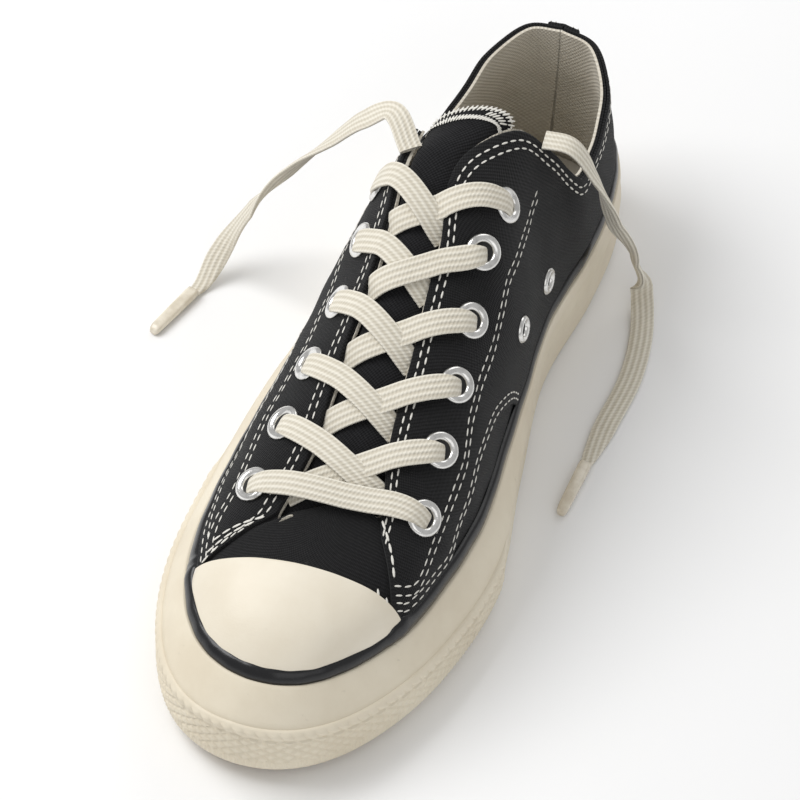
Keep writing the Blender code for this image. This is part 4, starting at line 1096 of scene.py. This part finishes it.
# %% stitches
def stitch_tree(name, stitch, gap, radius):
    tree = bpy.data.node_groups.new(name, "GeometryNodeTree")
    tree.interface.new_socket("Geometry", in_out="INPUT", socket_type="NodeSocketGeometry")
    for label, value in (("Stitch length", stitch), ("Gap", gap), ("Thread radius", radius)):
        socket = tree.interface.new_socket(label, in_out="INPUT", socket_type="NodeSocketFloat")
        socket.default_value = value
    socket = tree.interface.new_socket("Thread", in_out="INPUT", socket_type="NodeSocketMaterial")
    tree.interface.new_socket("Geometry", in_out="OUTPUT", socket_type="NodeSocketGeometry")
    nodes, links = tree.nodes, tree.links
    source, target = nodes.new("NodeGroupInput"), nodes.new("NodeGroupOutput")
    curve = nodes.new("GeometryNodeMeshToCurve")
    links.new(source.outputs[0], curve.inputs[0])
    pitch = nodes.new("ShaderNodeMath")
    links.new(source.outputs[1], pitch.inputs[0])
    links.new(source.outputs[2], pitch.inputs[1])
    resample = nodes.new("GeometryNodeResampleCurve")
    resample.mode = "LENGTH"
    links.new(curve.outputs[0], resample.inputs[0])
    links.new(pitch.outputs[0], resample.inputs["Length"])
    sphere = nodes.new("GeometryNodeMeshUVSphere")
    sphere.inputs["Segments"].default_value = 6
    sphere.inputs["Rings"].default_value = 4
    sphere.inputs["Radius"].default_value = 1.0
    size = nodes.new("ShaderNodeCombineXYZ")
    half = nodes.new("ShaderNodeMath")
    half.operation = "MULTIPLY"
    half.inputs[1].default_value = 0.5
    links.new(source.outputs[1], half.inputs[0])
    flat = nodes.new("ShaderNodeMath")
    flat.operation = "MULTIPLY"
    flat.inputs[1].default_value = 0.50
    links.new(source.outputs[3], flat.inputs[0])
    links.new(source.outputs[3], size.inputs[0])
    links.new(flat.outputs[0], size.inputs[1])
    links.new(half.outputs[0], size.inputs[2])
    tangent = nodes.new("GeometryNodeInputTangent")
    upward = nodes.new("GeometryNodeInputNamedAttribute")
    upward.data_type = "FLOAT_VECTOR"
    upward.inputs["Name"].default_value = "up"
    align = nodes.new("FunctionNodeAlignRotationToVector")
    align.axis = "Z"
    links.new(tangent.outputs[0], align.inputs["Vector"])
    second = nodes.new("FunctionNodeAlignRotationToVector")
    second.axis = "Y"
    second.pivot_axis = "Z"
    links.new(align.outputs[0], second.inputs["Rotation"])
    links.new(upward.outputs[0], second.inputs["Vector"])
    place = nodes.new("GeometryNodeInstanceOnPoints")
    links.new(resample.outputs[0], place.inputs["Points"])
    links.new(sphere.outputs[0], place.inputs["Instance"])
    links.new(second.outputs[0], place.inputs["Rotation"])
    links.new(size.outputs[0], place.inputs["Scale"])
    real = nodes.new("GeometryNodeRealizeInstances")
    links.new(place.outputs[0], real.inputs[0])
    dress = nodes.new("GeometryNodeSetMaterial")
    links.new(real.outputs[0], dress.inputs[0])
    links.new(source.outputs[4], dress.inputs["Material"])
    links.new(dress.outputs[0], target.inputs[0])
    return tree


def stitch_lines(name, lines, tree):
    points, ups, edges = [], [], []
    for line, normals in lines:
        base = len(points)
        points.extend(line)
        ups.extend(normals)
        edges.extend((base + i, base + i + 1) for i in range(len(line) - 1))
    mesh = bpy.data.meshes.new(name + " lines")
    mesh.from_pydata([tuple(point) for point in points], edges, [])
    layer = mesh.attributes.new("up", "FLOAT_VECTOR", "POINT")
    layer.data.foreach_set("vector", np.array(ups, np.float32).ravel())
    holder = bpy.data.objects.new(name + " lines", mesh)
    bpy.context.scene.collection.objects.link(holder)
    modifier = holder.modifiers.new("stitches", "NODES")
    modifier.node_group = tree
    thread_socket = [item for item in tree.interface.items_tree if item.name == "Thread"][0]
    modifier[thread_socket.identifier] = thread
    bpy.context.view_layer.update()
    graph = bpy.context.evaluated_depsgraph_get()
    made_mesh = bpy.data.meshes.new_from_object(holder.evaluated_get(graph))
    made_mesh.name = name
    made = bpy.data.objects.new(name, made_mesh)
    bpy.context.scene.collection.objects.link(made)
    holder.modifiers.remove(modifier)
    bpy.data.objects.remove(holder, do_unlink=True)
    made_mesh.shade_smooth()
    if not made_mesh.materials:
        made_mesh.materials.append(thread)
    return made


def on_skin(at, along, lift):
    at, along = np.asarray(at, float), np.asarray(along, float)
    points = skin(at, along, np.full(len(at), lift))
    return points, unit(points - skin(at, along, np.full(len(at), lift - 0.001)))


seam_tree = stitch_tree("stitch row", 0.0027, 0.0009, 0.00033)
OVER_QUARTER = 0.0014
seams = []
medial_run = np.linspace(quarters["medial"][0] + 0.002, quarters["medial"][-1] - 0.012, 400)
lateral_run = np.linspace(quarters["lateral"][0] + 0.012, quarters["lateral"][-1] - 0.002, 400)


def below_stay(at, down):
    high = stay_edge(at)
    along, _, lengths = rib_lengths(at)
    at_edge = np.array([np.interp(value, along, row) for value, row in zip(high, lengths)])
    down = np.broadcast_to(down, len(at))
    return np.array([np.interp(here - less, row, along) for here, less, row in zip(at_edge, down, lengths)])


def above_low(at, rise):
    low_edge = quarter_lower_edge(at)
    along, _, lengths = rib_lengths(at)
    at_edge = np.array([np.interp(value, along, row) for value, row in zip(low_edge, lengths)])
    rise = np.broadcast_to(rise, len(at))
    return np.array([np.interp(here + more, row, along) for here, more, row in zip(at_edge, rise, lengths)])


def clean(at, along, keep):
    at, along = at[keep], along[keep]
    return on_skin(at, along, OVER_QUARTER)


for stations, side_run in (("medial", medial_run), ("lateral", lateral_run)):
    station = station_of(side_run)
    for down in (0.0032, 0.0058):
        level_here = below_stay(side_run, np.full(len(side_run), down))
        keep = level_here > quarter_lower_edge(side_run) + 0.01
        seams.append(clean(side_run, level_here, keep))
    outer_rows = np.interp(station, [0.43, 0.448, 0.470, 0.498, 0.522, 0.555, 0.585, 0.61, 0.72, 0.78],
                           [0.0134, 0.0285, 0.0374, 0.0377, 0.0352, 0.0315, 0.0303, 0.0333, 0.0250, 0.0120])
    if stations == "lateral":
        outer_rows = outer_rows * 0.8
    for extra in (0.0, 0.0028):
        level_here = below_stay(side_run, outer_rows + extra)
        keep = (station > 0.436) & (level_here > quarter_lower_edge(side_run) + 0.006)
        seams.append(clean(side_run, level_here, keep))
    for rise in (0.0025, 0.0050):
        level_here = above_low(side_run, np.full(len(side_run), rise))
        keep = (station > 0.487) & (level_here < below_stay(side_run, outer_rows + 0.0035))
        if keep.sum() > 3:
            seams.append(clean(side_run, level_here, keep))
seams = [seam for seam in seams if len(seam[0]) > 3]
for offset in (0.0045, 0.0072):
    for sign in (-1.0, 1.0):
        edge_place = sign * offset / 0.0085 * reach
        column_at = np.full(40, edge_place)
        lo = along_at_foxing(column_at[:1], TAPE_WIDTH + 0.002)[0]
        points = skin(column_at, np.linspace(lo, 0.985, 40), np.full(40, 0.0024))
        normals = unit(points - skin(column_at, np.linspace(lo, 0.985, 40), np.full(40, 0.001)))
        seams.append((points, normals))
take(stitch_lines("stitches", seams, seam_tree))
print(len(seams), "seam rows")

# %% [markdown]
# ## Overlock on the tongue
# An overlock seam wraps thread round the raw edge: one running line in the cloth, one along the edge, and slanted
# threads between them.

# %% overlock
def edge_path(inset_rows, inset_columns):
    last = len(rows) - 1 - inset_rows
    first = int(np.searchsorted(row_keys, 1.0))
    left = [(i, inset_columns) for i in range(first, last)]
    across_row = [(last, j) for j in range(inset_columns, 27 - inset_columns)]
    right_side = [(i, 26 - inset_columns) for i in range(last, first, -1)]
    picked = left + across_row + right_side
    points = np.array([outer[i, j] for i, j in picked])
    normals = np.array([tongue_normals[i, j] for i, j in picked])
    return points + normals * 0.0003, normals


edge_line = edge_path(0, 0)
run_line = edge_path(8, 4)
whip = []
count = 40
for share in np.linspace(0.02, 0.98, count):
    picks = []
    for points, normals in (edge_line, run_line):
        travel_here = np.concatenate([[0.0], np.cumsum(np.linalg.norm(np.diff(points, axis=0), axis=1))])
        where = share * travel_here[-1]
        picks.append((np.array([np.interp(where, travel_here, points[:, k]) for k in range(3)]),
                      np.array([np.interp(where, travel_here, normals[:, k]) for k in range(3)])))
    (start, start_up), (end, end_up) = picks
    whip.append((np.array([start, (start + end) / 2 + start_up * 0.0003, end]), np.array([start_up, start_up, end_up])))
overlock_tree = stitch_tree("overlock row", 0.0030, 0.0002, 0.00035)
take(stitch_lines("overlock", [edge_line, run_line] + whip, overlock_tree))
print(len(whip), "overlock threads")

# %% [markdown]
# ## Toe corner bars
# Where the eyestay's rows end above the cap, the stitcher goes over them with a few thick crossing bars.

# %% bars
cord_tree = stitch_tree("bar thread", 0.0034, 0.0001, 0.00045)
hash_lines = []
for sign, spots in ((1.0, (0.742, 0.760, 0.775)), (-1.0, (0.735, 0.752, 0.768))):
    for spot in spots:
        at_line = np.full(12, spot if sign > 0 else 2.0 - spot)
        high_here = below_stay(at_line[:1], np.array([0.0015]))[0]
        low_here = max(below_stay(at_line[:1], np.array([0.016]))[0], quarter_lower_edge(at_line[:1])[0] + 0.004)
        slant = at_line + np.linspace(-0.006, 0.006, 12) * sign
        hash_lines.append(on_skin(slant, np.linspace(high_here, low_here, 12), OVER_QUARTER + 0.0003))
take(stitch_lines("corner_bars", hash_lines, cord_tree))
print(len(hash_lines), "bars")

# %% [markdown]
# ## Light and floor
# A large soft light from the upper left makes the long highlight on the tape, a weak fill keeps the black canvas
# readable, and the plain floor takes a soft shadow to the right.

# %% light
def area(name, place, size, energy):
    data = bpy.data.lights.new(name, "AREA")
    data.size = size
    data.energy = energy
    made = bpy.data.objects.new(name, data)
    made.matrix_world = Matrix.Translation(Vector(place)) @ Vector(place).to_track_quat("Z", "Y").to_matrix().to_4x4()
    bpy.context.scene.collection.objects.link(made)
    return made


key = area("key", (-0.75, -0.05, 1.05), 0.8, 11.0)
fill = area("fill", (0.7, -0.9, 0.8), 1.0, 2.2)
back_light = area("back", (0.1, 1.1, 0.9), 0.8, 2.5)
floor_mesh = bpy.data.meshes.new("floor")
floor_mesh.from_pydata([(-3, -3, -0.0002), (3, -3, -0.0002), (3, 3, -0.0002), (-3, 3, -0.0002)], [], [(0, 1, 2, 3)])
floor = bpy.data.objects.new("floor", floor_mesh)
bpy.context.scene.collection.objects.link(floor)
floor_made, floor_tree, floor_shader, floor_place, _ = new_material("floor white", 0.9)
link(floor_tree, blend(noise(floor_place, 3.0), (0.90, 0.90, 0.90), (0.93, 0.93, 0.93)), floor_shader, "Base Color")
floor_mesh.materials.append(floor_made)
world = bpy.data.worlds.new("studio")
world.use_nodes = True
world.node_tree.nodes["Background"].inputs[0].default_value = (1.0, 1.0, 1.0, 1.0)
world.node_tree.nodes["Background"].inputs[1].default_value = 0.50
bpy.context.scene.world = world
bpy.context.scene.view_settings.view_transform = "Standard"
print("lights set")
